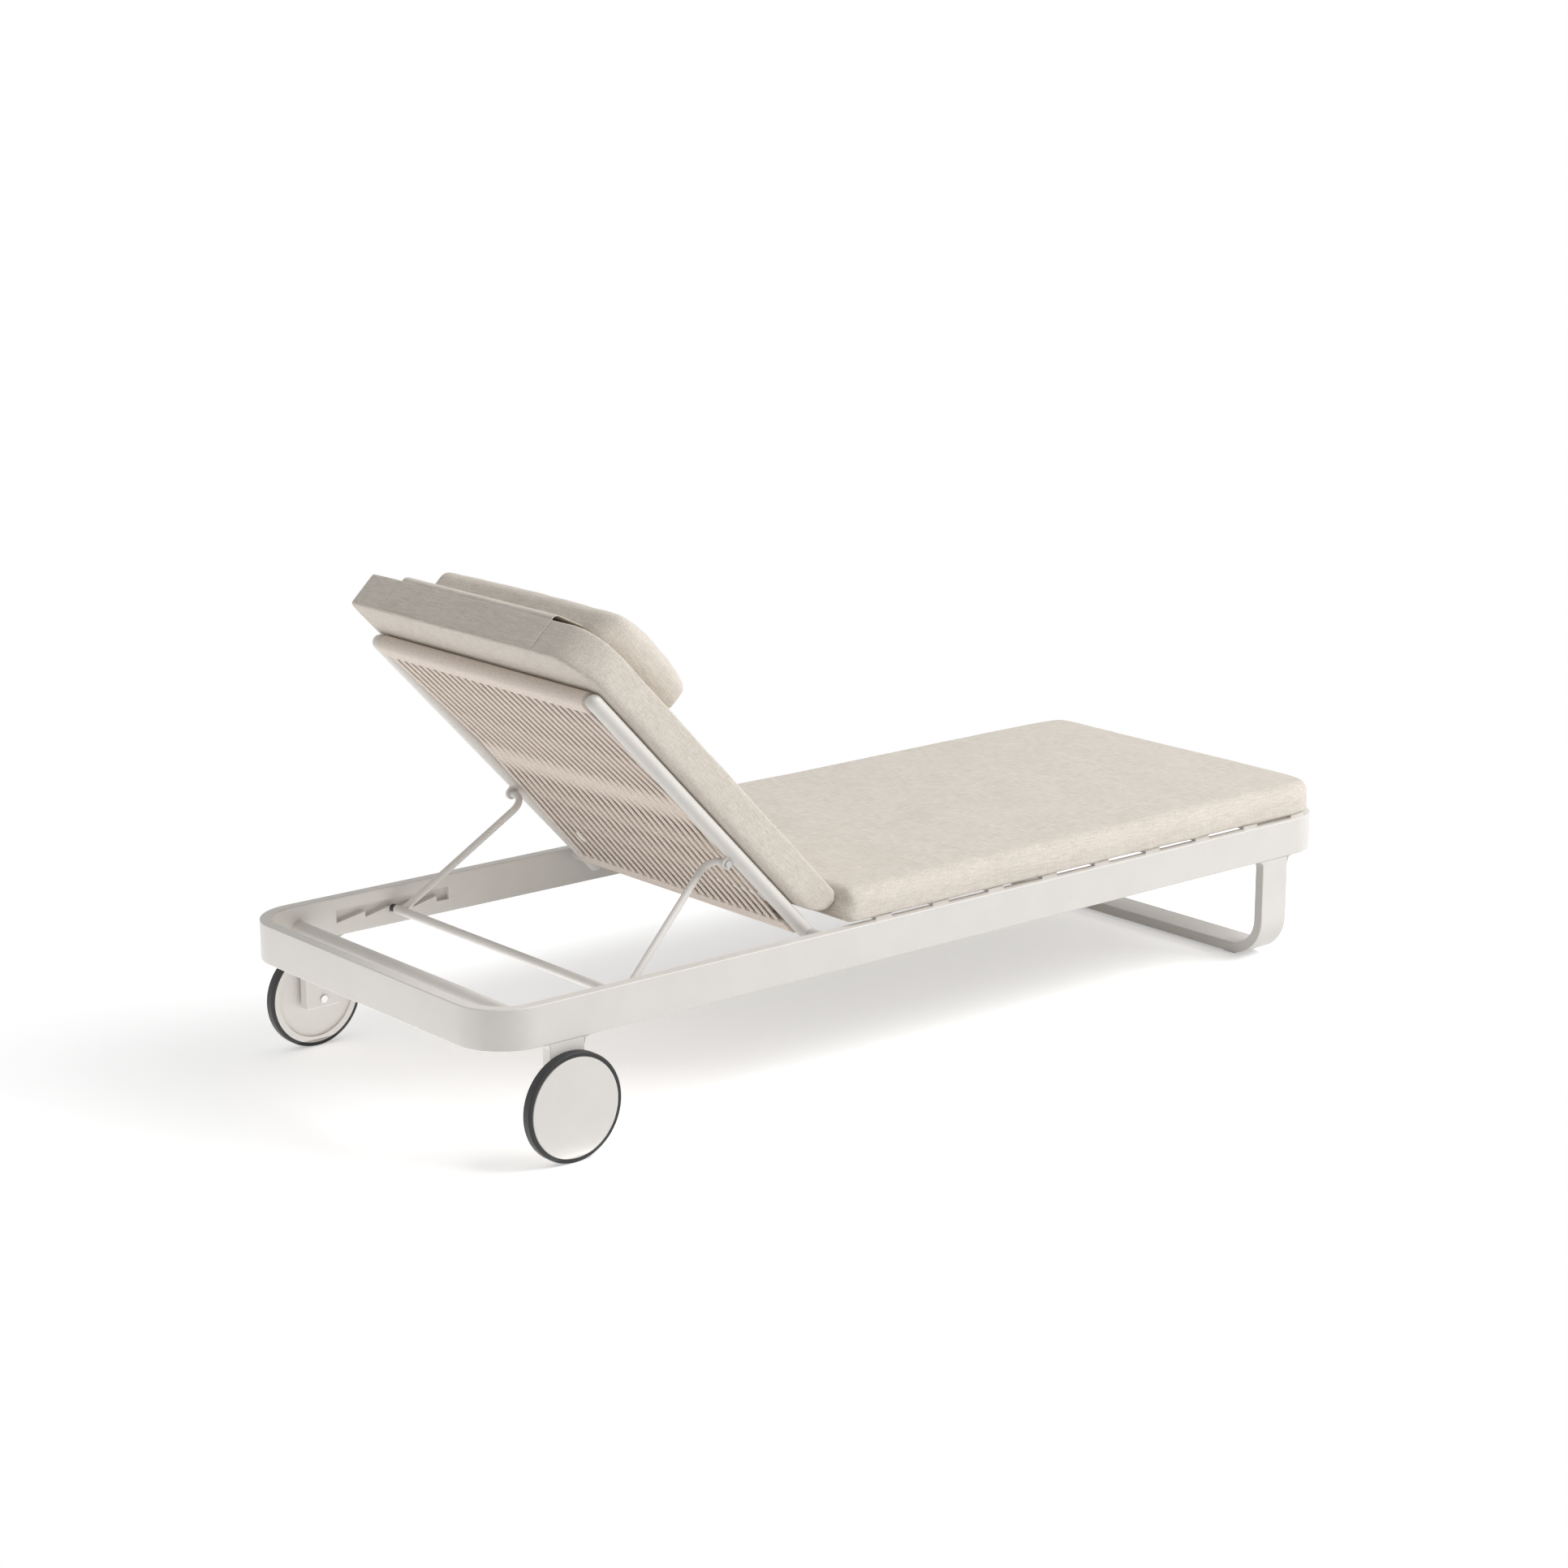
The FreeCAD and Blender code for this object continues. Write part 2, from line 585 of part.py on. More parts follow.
def stay_points():
    """Where the stay's pin and its crossbar stand, in Y and Z, with the crossbar in its rest notch."""
    pin = BACK.multVec(Vector(0, size("stay_pin_from_pivot"), -size("stay_pin_behind")))
    _, walls, floor = ratchet_outline()
    lift = size("sleeve_radius") + size("seat_clearance")
    return pin, Vector(0, walls[int(size("rest_notch")) - 1] - lift, floor + lift)


def stay_arm(side_name, side):
    """A rod that runs in from its ear, bends down and stands on the crossbar."""
    pin, bar = stay_points()
    shoulder_x = TUBE_X - size("tab_thick") / 2 - size("axial_clearance")
    start = Vector(side * shoulder_x, pin.y, pin.z)
    elbow = Vector(side * (shoulder_x - size("stay_run_in")), pin.y, pin.z)
    foot = Vector(side * (INNER_FACE - size("stay_foot_from_rail")), bar.y, bar.z)
    one, two = (start - elbow).normalize(), (foot - elbow).normalize()
    half_turn = one.getAngle(two) / 2
    reach = size("stay_bend") / math.tan(half_turn)
    centre = elbow + (one + two).normalize() * (size("stay_bend") / math.sin(half_turn))
    middle = centre + (elbow - centre).normalize() * size("stay_bend")
    path = Part.Wire([
        Part.LineSegment(start, elbow + one * reach).toShape(),
        Part.Arc(elbow + one * reach, middle, elbow + two * reach).toShape(),
        Part.LineSegment(elbow + two * reach, foot).toShape()])
    ring = Part.Wire([Part.makeCircle(size("stay_rod_radius"), start, Vector(1, 0, 0))])
    arm = path.makePipeShell([ring], True, False)
    spigot_long = size("tab_thick") + 2 * size("axial_clearance")
    spigot = Part.makeCylinder(size("stay_pin_radius"), spigot_long, start, Vector(side, 0, 0))
    bar_start = Vector(-HALF_WIDTH, bar.y, bar.z)
    bar_room = Part.makeCylinder(size("crossbar_radius"), 2 * HALF_WIDTH, bar_start, Vector(1, 0, 0))
    whole = arm.fuse(spigot).removeSplitter().cut(bar_room)
    largest = max(whole.Solids, key=lambda piece: piece.Volume)
    keep(solid(f"stay_arm_{side_name}", largest), f"stay_arm_{side_name}")


def stay_fittings():
    """The crossbar with its end spigots, their rubber sleeves and the bolts that hold the arms."""
    pin, bar = stay_points()
    end_x = INNER_FACE - size("sleeve_gap")
    bar_x = INNER_FACE - size("crossbar_shoulder")
    along = Vector(1, 0, 0)
    thick = Part.makeCylinder(size("crossbar_radius"), 2 * bar_x, Vector(-bar_x, bar.y, bar.z), along)
    thin = Part.makeCylinder(size("crossbar_spigot_radius"), 2 * end_x, Vector(-end_x, bar.y, bar.z), along)
    keep(solid("stay_crossbar", thick.fuse(thin).removeSplitter()), "stay_crossbar")
    sleeves, bolts = [], []
    bolt_x = TUBE_X + size("tab_thick") / 2 + size("axial_clearance")
    for side in SIDES.values():
        out = Vector(side, 0, 0)
        shoulder = Vector(side * bar_x, bar.y, bar.z)
        ring = Part.makeCylinder(size("sleeve_radius"), end_x - bar_x, shoulder, out)
        core = Part.makeCylinder(size("crossbar_spigot_radius"), end_x - bar_x, shoulder, out)
        sleeves.append(ring.cut(core))
        bolts.append(Part.makeCylinder(size("stay_bolt_radius"), size("stay_bolt_thick"),
                                       Vector(side * bolt_x, pin.y, pin.z), out))
    keep(solid("crossbar_sleeves", Part.makeCompound(sleeves)), "crossbar_sleeves")
    keep(solid("stay_bolts", Part.makeCompound(bolts)), "stay_bolts")


def cushion_section(y, half, low, high, crown, side_round):
    """A closed section across a cushion: flat below, bulging at the sides and crowned above."""
    flat = half - side_round
    middle = (low + high) / 2
    edges = [
        Part.LineSegment(Vector(-flat, y, low), Vector(flat, y, low)),
        Part.Arc(Vector(flat, y, low), Vector(half, y, middle), Vector(flat, y, high)),
        Part.Arc(Vector(flat, y, high), Vector(0, y, high + crown), Vector(-flat, y, high)),
        Part.Arc(Vector(-flat, y, high), Vector(-half, y, middle), Vector(-flat, y, low))]
    return Part.Wire([edge.toShape() for edge in edges])


def cushion(half_x, half_y, thick, crown, corner, side_round):
    """A crowned pad on Z = 0, centred on the origin: rounded corners, drawn-in sides, bulging ends."""
    straight = half_y - corner
    draw_in = size("cushion_draw_in")
    stations = [(share * straight, half_x - draw_in * (1 - share ** 2)) for share in SIDE_SHARES]
    for share in CORNER_SHARES:
        angle = share * math.pi / 2
        stations.append((straight + corner * math.sin(angle), half_x - corner + corner * math.cos(angle)))
    sections = []
    for y, half in [(-y, half) for y, half in reversed(stations)] + stations[1:]:
        into_end = max(0, 1 - (half_y - abs(y)) / side_round)
        full_share = END_HEIGHT_SHARE + (1 - END_HEIGHT_SHARE) * math.sqrt(1 - into_end ** 2)
        gap = thick * (1 - full_share) / 2
        sections.append(cushion_section(y, half, gap, thick - gap,
                                        crown * full_share, side_round * full_share))
    return Part.makeLoft(sections, True, True)


def seat_cushion():
    """The long pad on the slats. Its head end slopes away under the back cushion, and lifts below."""
    inset = size("seat_cushion_inset")
    half_x = HALF_WIDTH - inset
    foot_y = -HALF_LENGTH + inset
    head_y = PIVOT.y - size("seat_end_before_pivot")
    half_y = (head_y - foot_y) / 2
    thick, crown = size("seat_cushion_thick"), size("seat_cushion_crown")
    corner = size("corner_radius") - inset
    pad = cushion(half_x, half_y, thick, crown, corner, size("cushion_side_round"))
    slope, over = size("seat_end_slope"), size("overrun")
    lift, lift_from = size("seat_end_lift"), half_y - size("seat_end_lift_long")
    top, beyond = thick + crown + over, half_y + over
    above = [(beyond, 0), (half_y, 0), (half_y - slope, top), (beyond, top), (beyond, 0)]
    below = [(beyond, -over), (lift_from, -over), (lift_from, 0), (half_y, lift), (beyond, lift)]
    below.append(below[0])
    for outline in (above, below):
        wedge = Part.makePolygon([Vector(-HALF_WIDTH, y, z) for y, z in outline])
        pad = pad.cut(Part.Face(wedge).extrude(Vector(2 * HALF_WIDTH, 0, 0)))
    place_at = Placement(Vector(0, (head_y + foot_y) / 2, SEAT_TOP + size("seat_clearance")), Rotation())
    keep(solid("seat_cushion", pad), "seat_cushion", place_at)


def back_soft_parts():
    """The back cushion, the pillow on its front and the weighted strap that holds the pillow."""
    foot, head = size("back_cushion_foot"), size("back_cushion_head")
    thick, crown = size("back_cushion_thick"), size("back_cushion_crown")
    base = SLING_RADIUS + size("seat_clearance")
    half_x = INNER_FACE - size("back_cushion_side_gap")
    pad = cushion(half_x, (head - foot) / 2, thick, crown,
                  size("cushion_corner"), size("cushion_side_round"))
    lying = Placement(Vector(0, (head + foot) / 2, base), Rotation())
    keep(solid("back_cushion", pad), "back_cushion", BACK.multiply(lying))

    front = base + thick + crown + size("seat_clearance")
    pillow_y = head - size("pillow_below_head") - size("pillow_long") / 2
    pad = cushion(size("pillow_width") / 2, size("pillow_long") / 2, size("pillow_thick"),
                  size("pillow_crown"), size("pillow_corner"), size("pillow_side_round"))
    lying = Placement(Vector(0, pillow_y, front), Rotation())
    keep(solid("head_pillow", pad), "head_pillow", BACK.multiply(lying))

    half, skin = size("strap_width") / 2, size("strap_thick")
    start = head - size("pillow_below_head") + size("seat_clearance")
    end = head + size("seat_clearance")
    over_front = Part.makeBox(2 * half, end + skin - start, skin, Vector(-half, start, front))
    drop = size("strap_drop")
    over_end = Part.makeBox(2 * half, skin, drop + skin, Vector(-half, end, front - drop))
    keep(solid("pillow_strap", over_front.fuse(over_end).removeSplitter()), "pillow_strap", BACK)


def build():
    end_rail("head_rail", 1)
    end_rail("foot_rail", -1)
    for side_name, side in SIDES.items():
        side_rail(side_name, side)
    foot_sled()
    floor_glides()
    head_cross_tube()
    seat_slats()
    for side_name, side in SIDES.items():
        wheel_bracket(side_name, side)
        wheel_set(side_name, side)
        back_tube(side_name, side)
        stay_tab(side_name, side)
        stay_arm(side_name, side)
    back_tube_caps()
    back_bar("back_bottom_bar", "bottom_bar_from_pivot")
    back_bar("back_top_bar", "tube_above_pivot")
    back_sling()
    pivot_fittings()
    stay_fittings()
    seat_cushion()
    back_soft_parts()


def check_and_export():
    """Stops on any failed feature or bad shape, then writes one STEP file for each sub-part."""
    doc.recompute()
    for obj in doc.Objects:
        if {"Invalid", "Error"} & set(obj.State):
            raise RuntimeError(f"{obj.Name} failed: {obj.State}")
    for obj in parts:
        if obj.Shape.isNull() or not obj.Shape.isValid():
            raise RuntimeError(f"{obj.Label} has no valid shape")
    os.makedirs("parts", exist_ok=True)
    for obj in parts:
        obj.Shape.exportStep(f"parts/{obj.Label}.step")
        print(obj.Label, len(obj.Shape.Solids), round(obj.Shape.Volume / 1000, 1), "cm3")


build()
check_and_export()
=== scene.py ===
# %% [markdown]
# A sun lounger, dressed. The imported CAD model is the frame: rails, wheels, tubes and the stay are
# there already, at their real places. This lesson gives them finishes and makes the soft things that
# a CAD solid can only stand in for: three cushions, a strap of cloth and a sling of rope bands.
# Everything is in metres: X across the bed, Y from the foot to the head, Z up from the floor.

# %% Load the frame
import json
import math

import bmesh
import bpy
from mathutils import Matrix, Vector


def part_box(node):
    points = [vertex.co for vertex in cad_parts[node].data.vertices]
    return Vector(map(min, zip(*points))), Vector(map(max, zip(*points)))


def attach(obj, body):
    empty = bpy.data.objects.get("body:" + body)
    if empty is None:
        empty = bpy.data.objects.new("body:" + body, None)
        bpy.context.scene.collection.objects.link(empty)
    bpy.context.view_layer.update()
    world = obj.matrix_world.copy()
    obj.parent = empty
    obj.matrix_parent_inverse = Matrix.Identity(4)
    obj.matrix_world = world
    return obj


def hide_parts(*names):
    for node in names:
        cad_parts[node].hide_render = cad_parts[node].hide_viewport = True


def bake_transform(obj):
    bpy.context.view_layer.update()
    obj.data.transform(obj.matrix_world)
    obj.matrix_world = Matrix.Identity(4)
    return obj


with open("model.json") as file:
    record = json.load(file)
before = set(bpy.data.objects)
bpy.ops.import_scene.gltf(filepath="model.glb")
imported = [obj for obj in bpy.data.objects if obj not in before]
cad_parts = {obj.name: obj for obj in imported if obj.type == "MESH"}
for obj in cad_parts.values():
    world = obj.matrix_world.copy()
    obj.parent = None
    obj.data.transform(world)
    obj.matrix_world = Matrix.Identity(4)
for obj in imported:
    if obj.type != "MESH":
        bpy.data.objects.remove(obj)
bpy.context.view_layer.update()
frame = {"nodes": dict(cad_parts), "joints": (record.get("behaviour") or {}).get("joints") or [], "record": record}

# %% [markdown]
# The backrest leans. Its cushions and its sling are easier to model lying flat, in a frame of their
# own: X across, Y up along the side tubes, Z towards the sitter. One matrix then lays the finished
# piece on the leaning backrest. The hinge pins give the origin, and the tilt is that of the tubes.

# %% The backrest's own frame
BACK_TILT = math.radians(46.4)
hinge = next(joint for joint in frame["joints"] if joint["name"] == "backrest_recline")
PIVOT = Vector(hinge["pos_m"])
LEAN = Matrix.Translation(PIVOT) @ Matrix.Rotation(BACK_TILT, 4, "X")
print("pivot", tuple(PIVOT), "tilt", math.degrees(BACK_TILT))

# %% [markdown]
# The camera stands behind the head end, a little above the pillow, and looks along the bed. Its
# place and lens were fitted to the corners of the frame, so straight edges fall where they should.
# The look direction is turned into a rotation with to_track_quat: a camera looks along its own -Z.

# %% Camera
CAMERA_PLACE = Vector((-4.64639, 3.99201, 1.98262))
CAMERA_HEADING = math.radians(49.88)
CAMERA_PITCH = math.radians(14.24)
CAMERA_LENS = 77.18
SENSOR_WIDTH = 36

look = Vector((
    math.sin(CAMERA_HEADING) * math.cos(CAMERA_PITCH),
    -math.cos(CAMERA_HEADING) * math.cos(CAMERA_PITCH),
    -math.sin(CAMERA_PITCH)))
camera_data = bpy.data.cameras.new("camera")
camera_data.lens = CAMERA_LENS
camera_data.sensor_width = SENSOR_WIDTH
camera = bpy.data.objects.new("camera", camera_data)
camera.location = CAMERA_PLACE
camera.rotation_euler = (-look).to_track_quat("Z", "Y").to_euler()
bpy.context.scene.collection.objects.link(camera)
bpy.context.scene.camera = camera
print("camera looks along", tuple(round(n, 3) for n in look))

# %% [markdown]
# A white studio: pale light from all round, a large soft lamp above the foot end on the sitter's
# right, and a low panel behind the head end that stands for the light a bright floor throws back.
# The faces that look up and back, such as the end of the back cushion, are then the darkest ones.
# The floor and the world turn white for the camera alone, so that no more light falls on the bed.

# %% World and lamps
WORLD_LIGHT = 0.45
KEY_PLACE = Vector((-5.8, -6.0, 8.0))
KEY_AIM = Vector((0.0, -0.1, 0.3))
KEY_POWER = 1080
KEY_SIZE = 7.0
PANEL_PLACE = Vector((0.38, 1.32, 0.012))
PANEL_POWER = 6.8
PANEL_WIDE = 1.6
PANEL_LONG = 1.5

scene = bpy.context.scene
scene.view_settings.view_transform = "Standard"
world = bpy.data.worlds.new("studio")
world.use_nodes = True
scene.world = world
links = world.node_tree.links
backdrop = world.node_tree.nodes["Background"]
backdrop.inputs["Color"].default_value = (1.0, 1.0, 1.0, 1.0)


def seen_directly(tree):
    """A factor that is 1 for rays of the camera, of mirrors and through glass, and 0 for light."""
    path = tree.nodes.new("ShaderNodeLightPath")
    either = tree.nodes.new("ShaderNodeMath")
    either.operation = "MAXIMUM"
    tree.links.new(path.outputs["Is Camera Ray"], either.inputs[0])
    tree.links.new(path.outputs["Is Glossy Ray"], either.inputs[1])
    all_three = tree.nodes.new("ShaderNodeMath")
    all_three.operation = "MAXIMUM"
    tree.links.new(either.outputs[0], all_three.inputs[0])
    tree.links.new(path.outputs["Is Transmission Ray"], all_three.inputs[1])
    return all_three.outputs[0]


strength = world.node_tree.nodes.new("ShaderNodeMapRange")
strength.inputs["To Min"].default_value = WORLD_LIGHT
strength.inputs["To Max"].default_value = 1.0
links.new(seen_directly(world.node_tree), strength.inputs["Value"])
links.new(strength.outputs["Result"], backdrop.inputs["Strength"])


def add_lamp(name, place, aim, power, wide, long):
    """A flat lamp that shines from its place towards a point, and that the camera doesn't see."""
    data = bpy.data.lights.new(name, "AREA")
    data.shape = "RECTANGLE"
    data.energy = power
    data.size = wide
    data.size_y = long
    lamp = bpy.data.objects.new(name, data)
    lamp.location = place
    lamp.rotation_euler = (place - aim).to_track_quat("Z", "Y").to_euler()
    lamp.visible_camera = False
    scene.collection.objects.link(lamp)


add_lamp("key", KEY_PLACE, KEY_AIM, KEY_POWER, KEY_SIZE, KEY_SIZE)
add_lamp("panel", PANEL_PLACE, PANEL_PLACE + Vector((0, 0, 1)), PANEL_POWER, PANEL_WIDE, PANEL_LONG)
print("world", WORLD_LIGHT, "key", KEY_POWER, "W, panel", PANEL_POWER, "W")

# %% Floor
FLOOR_SIZE = 60
FLOOR_COLOUR = (0.9, 0.9, 0.9)
FLOOR_GLOW = 0.40
SHADOW_HALF = (0.62, 1.2)
WHITE_FROM = 0.95
WHITE_TO = 2.0

bpy.ops.object.select_all(action="DESELECT")
bpy.ops.mesh.primitive_plane_add(size=FLOOR_SIZE)
floor = bpy.context.object
floor.name = "studio_floor"
floor_finish = bpy.data.materials.new("studio_floor")
floor_finish.use_nodes = True
tree = floor_finish.node_tree
tree.nodes.remove(tree.nodes["Principled BSDF"])
paint = tree.nodes.new("ShaderNodeBsdfDiffuse")
paint.inputs["Color"].default_value = (*FLOOR_COLOUR, 1.0)
seen = seen_directly(tree)
glow = tree.nodes.new("ShaderNodeEmission")
level = tree.nodes.new("ShaderNodeMath")
level.operation = "MULTIPLY"
level.inputs[1].default_value = FLOOR_GLOW
tree.links.new(seen, level.inputs[0])
tree.links.new(level.outputs[0], glow.inputs["Strength"])
both = tree.nodes.new("ShaderNodeAddShader")
tree.links.new(paint.outputs[0], both.inputs[0])
tree.links.new(glow.outputs[0], both.inputs[1])
print("floor", FLOOR_SIZE, "m")

# %% [markdown]
# A plane that runs to the horizon would turn grey where the lamp no longer reaches it. So the floor
# fades to plain white with the distance from the bed. The Object coordinate is divided by the half
# sizes of an oval round the bed, so its length is 1 on that oval. The shadow inside is untouched.

# %% Fade the floor to white
white = tree.nodes.new("ShaderNodeEmission")
where = tree.nodes.new("ShaderNodeTexCoord")
oval = tree.nodes.new("ShaderNodeMapping")
oval.inputs["Scale"].default_value = (1 / SHADOW_HALF[0], 1 / SHADOW_HALF[1], 1)
tree.links.new(where.outputs["Object"], oval.inputs["Vector"])
distance = tree.nodes.new("ShaderNodeVectorMath")
distance.operation = "LENGTH"
tree.links.new(oval.outputs["Vector"], distance.inputs[0])
fade = tree.nodes.new("ShaderNodeMapRange")
fade.inputs["From Min"].default_value = WHITE_FROM
fade.inputs["From Max"].default_value = WHITE_TO
tree.links.new(distance.outputs["Value"], fade.inputs["Value"])
share = tree.nodes.new("ShaderNodeMath")
share.operation = "MULTIPLY"
tree.links.new(fade.outputs["Result"], share.inputs[0])
tree.links.new(seen, share.inputs[1])
blend = tree.nodes.new("ShaderNodeMixShader")
tree.links.new(share.outputs[0], blend.inputs["Fac"])
tree.links.new(both.outputs[0], blend.inputs[1])
tree.links.new(white.outputs[0], blend.inputs[2])
tree.links.new(blend.outputs[0], tree.nodes["Material Output"].inputs["Surface"])
floor.data.materials.append(floor_finish)
print("white from", WHITE_TO, "times the oval")

# %% [markdown]
# Finishes next. Each one starts from a Principled shader, and its detail comes from noise that reads
# Object coordinates: these are metres in the bed's own frame, so 700 means 700 lumps in a metre, or
# one each 1.4 mm. A Mapping node stretches the noise into threads, or turns it with the backrest.

# %% Helpers for finishes
def new_finish(name, roughness, metallic=0.0):
    """A material with its Principled shader, ready for a pattern."""
    finish = bpy.data.materials.new(name)
    finish.use_nodes = True
    shader = finish.node_tree.nodes["Principled BSDF"]
    shader.inputs["Roughness"].default_value = roughness
    shader.inputs["Metallic"].default_value = metallic
    return finish, finish.node_tree, shader


def pattern_space(tree, turn=0.0, stretch=(1, 1, 1)):
    """Object coordinates, turned back about X by the lean of the piece, then stretched."""
    where = tree.nodes.new("ShaderNodeTexCoord")
    turned = tree.nodes.new("ShaderNodeMapping")
    turned.inputs["Rotation"].default_value = (-turn, 0, 0)
    tree.links.new(where.outputs["Object"], turned.inputs["Vector"])
    stretched = tree.nodes.new("ShaderNodeMapping")
    stretched.inputs["Scale"].default_value = stretch
    tree.links.new(turned.outputs["Vector"], stretched.inputs["Vector"])
    return stretched.outputs["Vector"]


def noise(tree, space, scale=1.0, detail=2.0, roughness=0.5):
    """Soft random lumps, from 0 to 1."""
    texture = tree.nodes.new("ShaderNodeTexNoise")
    texture.inputs["Scale"].default_value = scale
    texture.inputs["Detail"].default_value = detail
    texture.inputs["Roughness"].default_value = roughness
    tree.links.new(space, texture.inputs["Vector"])
    return texture.outputs["Fac"]


def combine(tree, operation, one, other):
    """A Math node on two values, either of which may be a number."""
    node = tree.nodes.new("ShaderNodeMath")
    node.operation = operation
    for socket, value in zip(node.inputs, (one, other)):
        if isinstance(value, (int, float)):
            socket.default_value = value
        else:
            tree.links.new(value, socket)
    return node.outputs[0]


def colour_between(tree, factor, dark, light, low=0.35, high=0.65):
    """A ramp from the dark to the light colour, between two levels of a pattern."""
    ramp = tree.nodes.new("ShaderNodeValToRGB")
    ramp.color_ramp.elements[0].position = low
    ramp.color_ramp.elements[0].color = (*dark, 1.0)
    ramp.color_ramp.elements[1].position = high
    ramp.color_ramp.elements[1].color = (*light, 1.0)
    tree.links.new(factor, ramp.inputs["Fac"])
    return ramp.outputs["Color"]


def raise_surface(tree, shader, height, strength, distance):
    """A bump from a pattern, distance metres high."""
    bump = tree.nodes.new("ShaderNodeBump")
    bump.inputs["Strength"].default_value = strength
    bump.inputs["Distance"].default_value = distance
    tree.links.new(height, bump.inputs["Height"])
    tree.links.new(bump.outputs["Normal"], shader.inputs["Normal"])


def vary_gloss(tree, shader, pattern, smoothest, roughest):
    """Lets a pattern lead the roughness between two values."""
    gloss = tree.nodes.new("ShaderNodeMapRange")
    gloss.inputs["To Min"].default_value = smoothest
    gloss.inputs["To Max"].default_value = roughest
    tree.links.new(pattern, gloss.inputs["Value"])
    tree.links.new(gloss.outputs["Result"], shader.inputs["Roughness"])


def shades(colour, spread):
    """The same colour a little darker and a little lighter."""
    return [tuple(part * factor for part in colour) for factor in (1 - spread, 1 + spread)]


print("helpers ready")

# %% [markdown]
# The frame is aluminium with a baked powder coat: a warm light greige, satin to matt, with the very
# fine orange-peel of powder. A lump every millimetre or so, a tenth of a millimetre high, is enough.
# The gloss varies a little too, as the coat does where it lies thicker.

# %% Powder coat
COAT_COLOUR = (0.72, 0.692, 0.657)
COAT_ROUGHNESS = 0.42
COAT_SMOOTHER = 0.05
COAT_ROUGHER = 0.07
COAT_SHADES = 0.015
COAT_CLOUDS = 14
GLOSS_CLOUDS = 55
PEEL_LUMPS = 900
PEEL_STRENGTH = 0.12
PEEL_HEIGHT = 0.0002

frame_coat, tree, shader = new_finish("frame_powder_coat", COAT_ROUGHNESS)
space = pattern_space(tree)
cloud = noise(tree, space, COAT_CLOUDS, 3)
coat_shade = colour_between(tree, cloud, *shades(COAT_COLOUR, COAT_SHADES))
tree.links.new(coat_shade, shader.inputs["Base Color"])
gloss_cloud = noise(tree, space, GLOSS_CLOUDS)
vary_gloss(tree, shader, gloss_cloud, COAT_ROUGHNESS - COAT_SMOOTHER, COAT_ROUGHNESS + COAT_ROUGHER)
raise_surface(tree, shader, noise(tree, space, PEEL_LUMPS), PEEL_STRENGTH, PEEL_HEIGHT)
print("made", frame_coat.name)

# %% [markdown]
# The cushion covers are an outdoor linen: beige threads of slightly different shades, with thicker
# slubs here and there. One noise drawn out along X is the weft, one along the bed is the warp, and a
# third stands upright for the sides. Their weighted sum gives both the shade and the height of the
# cloth. A slow cloud over all of it gives the melange blotches. The pattern of the back cushions is
# turned with them.

# %% Cushion linen
LINEN_DARK = (0.50, 0.45, 0.385)
LINEN_LIGHT = (0.82, 0.76, 0.685)
THREADS = 430
SLUBS = 40
THREAD_LAYERS = [
    (0.42, (SLUBS, THREADS, THREADS)),
    (0.38, (THREADS, SLUBS, THREADS)),
    (0.2, (THREADS, THREADS, SLUBS))]
BLOTCH_CLOUDS = (9, 13, 9)
BLOTCHES = 0.1
LINEN_RAMP = (0.3, 0.7)
LINEN_ROUGHNESS = 0.88
LINEN_SHEEN = 0.12
SHEEN_ROUGHNESS = 0.5
WEAVE_STRENGTH = 0.5
WEAVE_HEIGHT = 0.0012


def linen(name, turn):
    """Beige woven cloth whose threads run along and across the piece."""
    finish, tree, shader = new_finish(name, LINEN_ROUGHNESS)
    threads = 0.0
    for weight, stretch in THREAD_LAYERS:
        layer = noise(tree, pattern_space(tree, turn, stretch), 1.0, 2.5, 0.6)
        threads = combine(tree, "ADD", threads, combine(tree, "MULTIPLY", layer, weight))
    cloud = noise(tree, pattern_space(tree, turn, BLOTCH_CLOUDS), 1.0, 3, 0.55)
    blotches = combine(tree, "MULTIPLY", combine(tree, "SUBTRACT", cloud, 0.5), BLOTCHES)
    shade = combine(tree, "ADD", threads, blotches)
    colour = colour_between(tree, shade, LINEN_DARK, LINEN_LIGHT, *LINEN_RAMP)
    tree.links.new(colour, shader.inputs["Base Color"])
    raise_surface(tree, shader, threads, WEAVE_STRENGTH, WEAVE_HEIGHT)
    shader.inputs["Sheen Weight"].default_value = LINEN_SHEEN
    shader.inputs["Sheen Roughness"].default_value = SHEEN_ROUGHNESS
    return finish


seat_linen = linen("cushion_linen_seat", 0.0)
back_linen = linen("cushion_linen_back", BACK_TILT)
print("made", seat_linen.name, back_linen.name)

# %% [markdown]
# The sling is an outdoor rope, a braided polyester band with a pinkish beige cast. Its braid is
# about two millimetres, drawn out a little along the band.

# %% Rope braid
ROPE_DARK = (0.63, 0.54, 0.47)
ROPE_LIGHT = (0.87, 0.775, 0.70)
ROPE_RAMP = (0.3, 0.68)
ROPE_ROUGHNESS = 0.82
ROPE_SHEEN = 0.1
BRAID_FINE = 560
BRAID_DRAWN = 240
BRAID_STRENGTH = 0.4
BRAID_HEIGHT = 0.0009

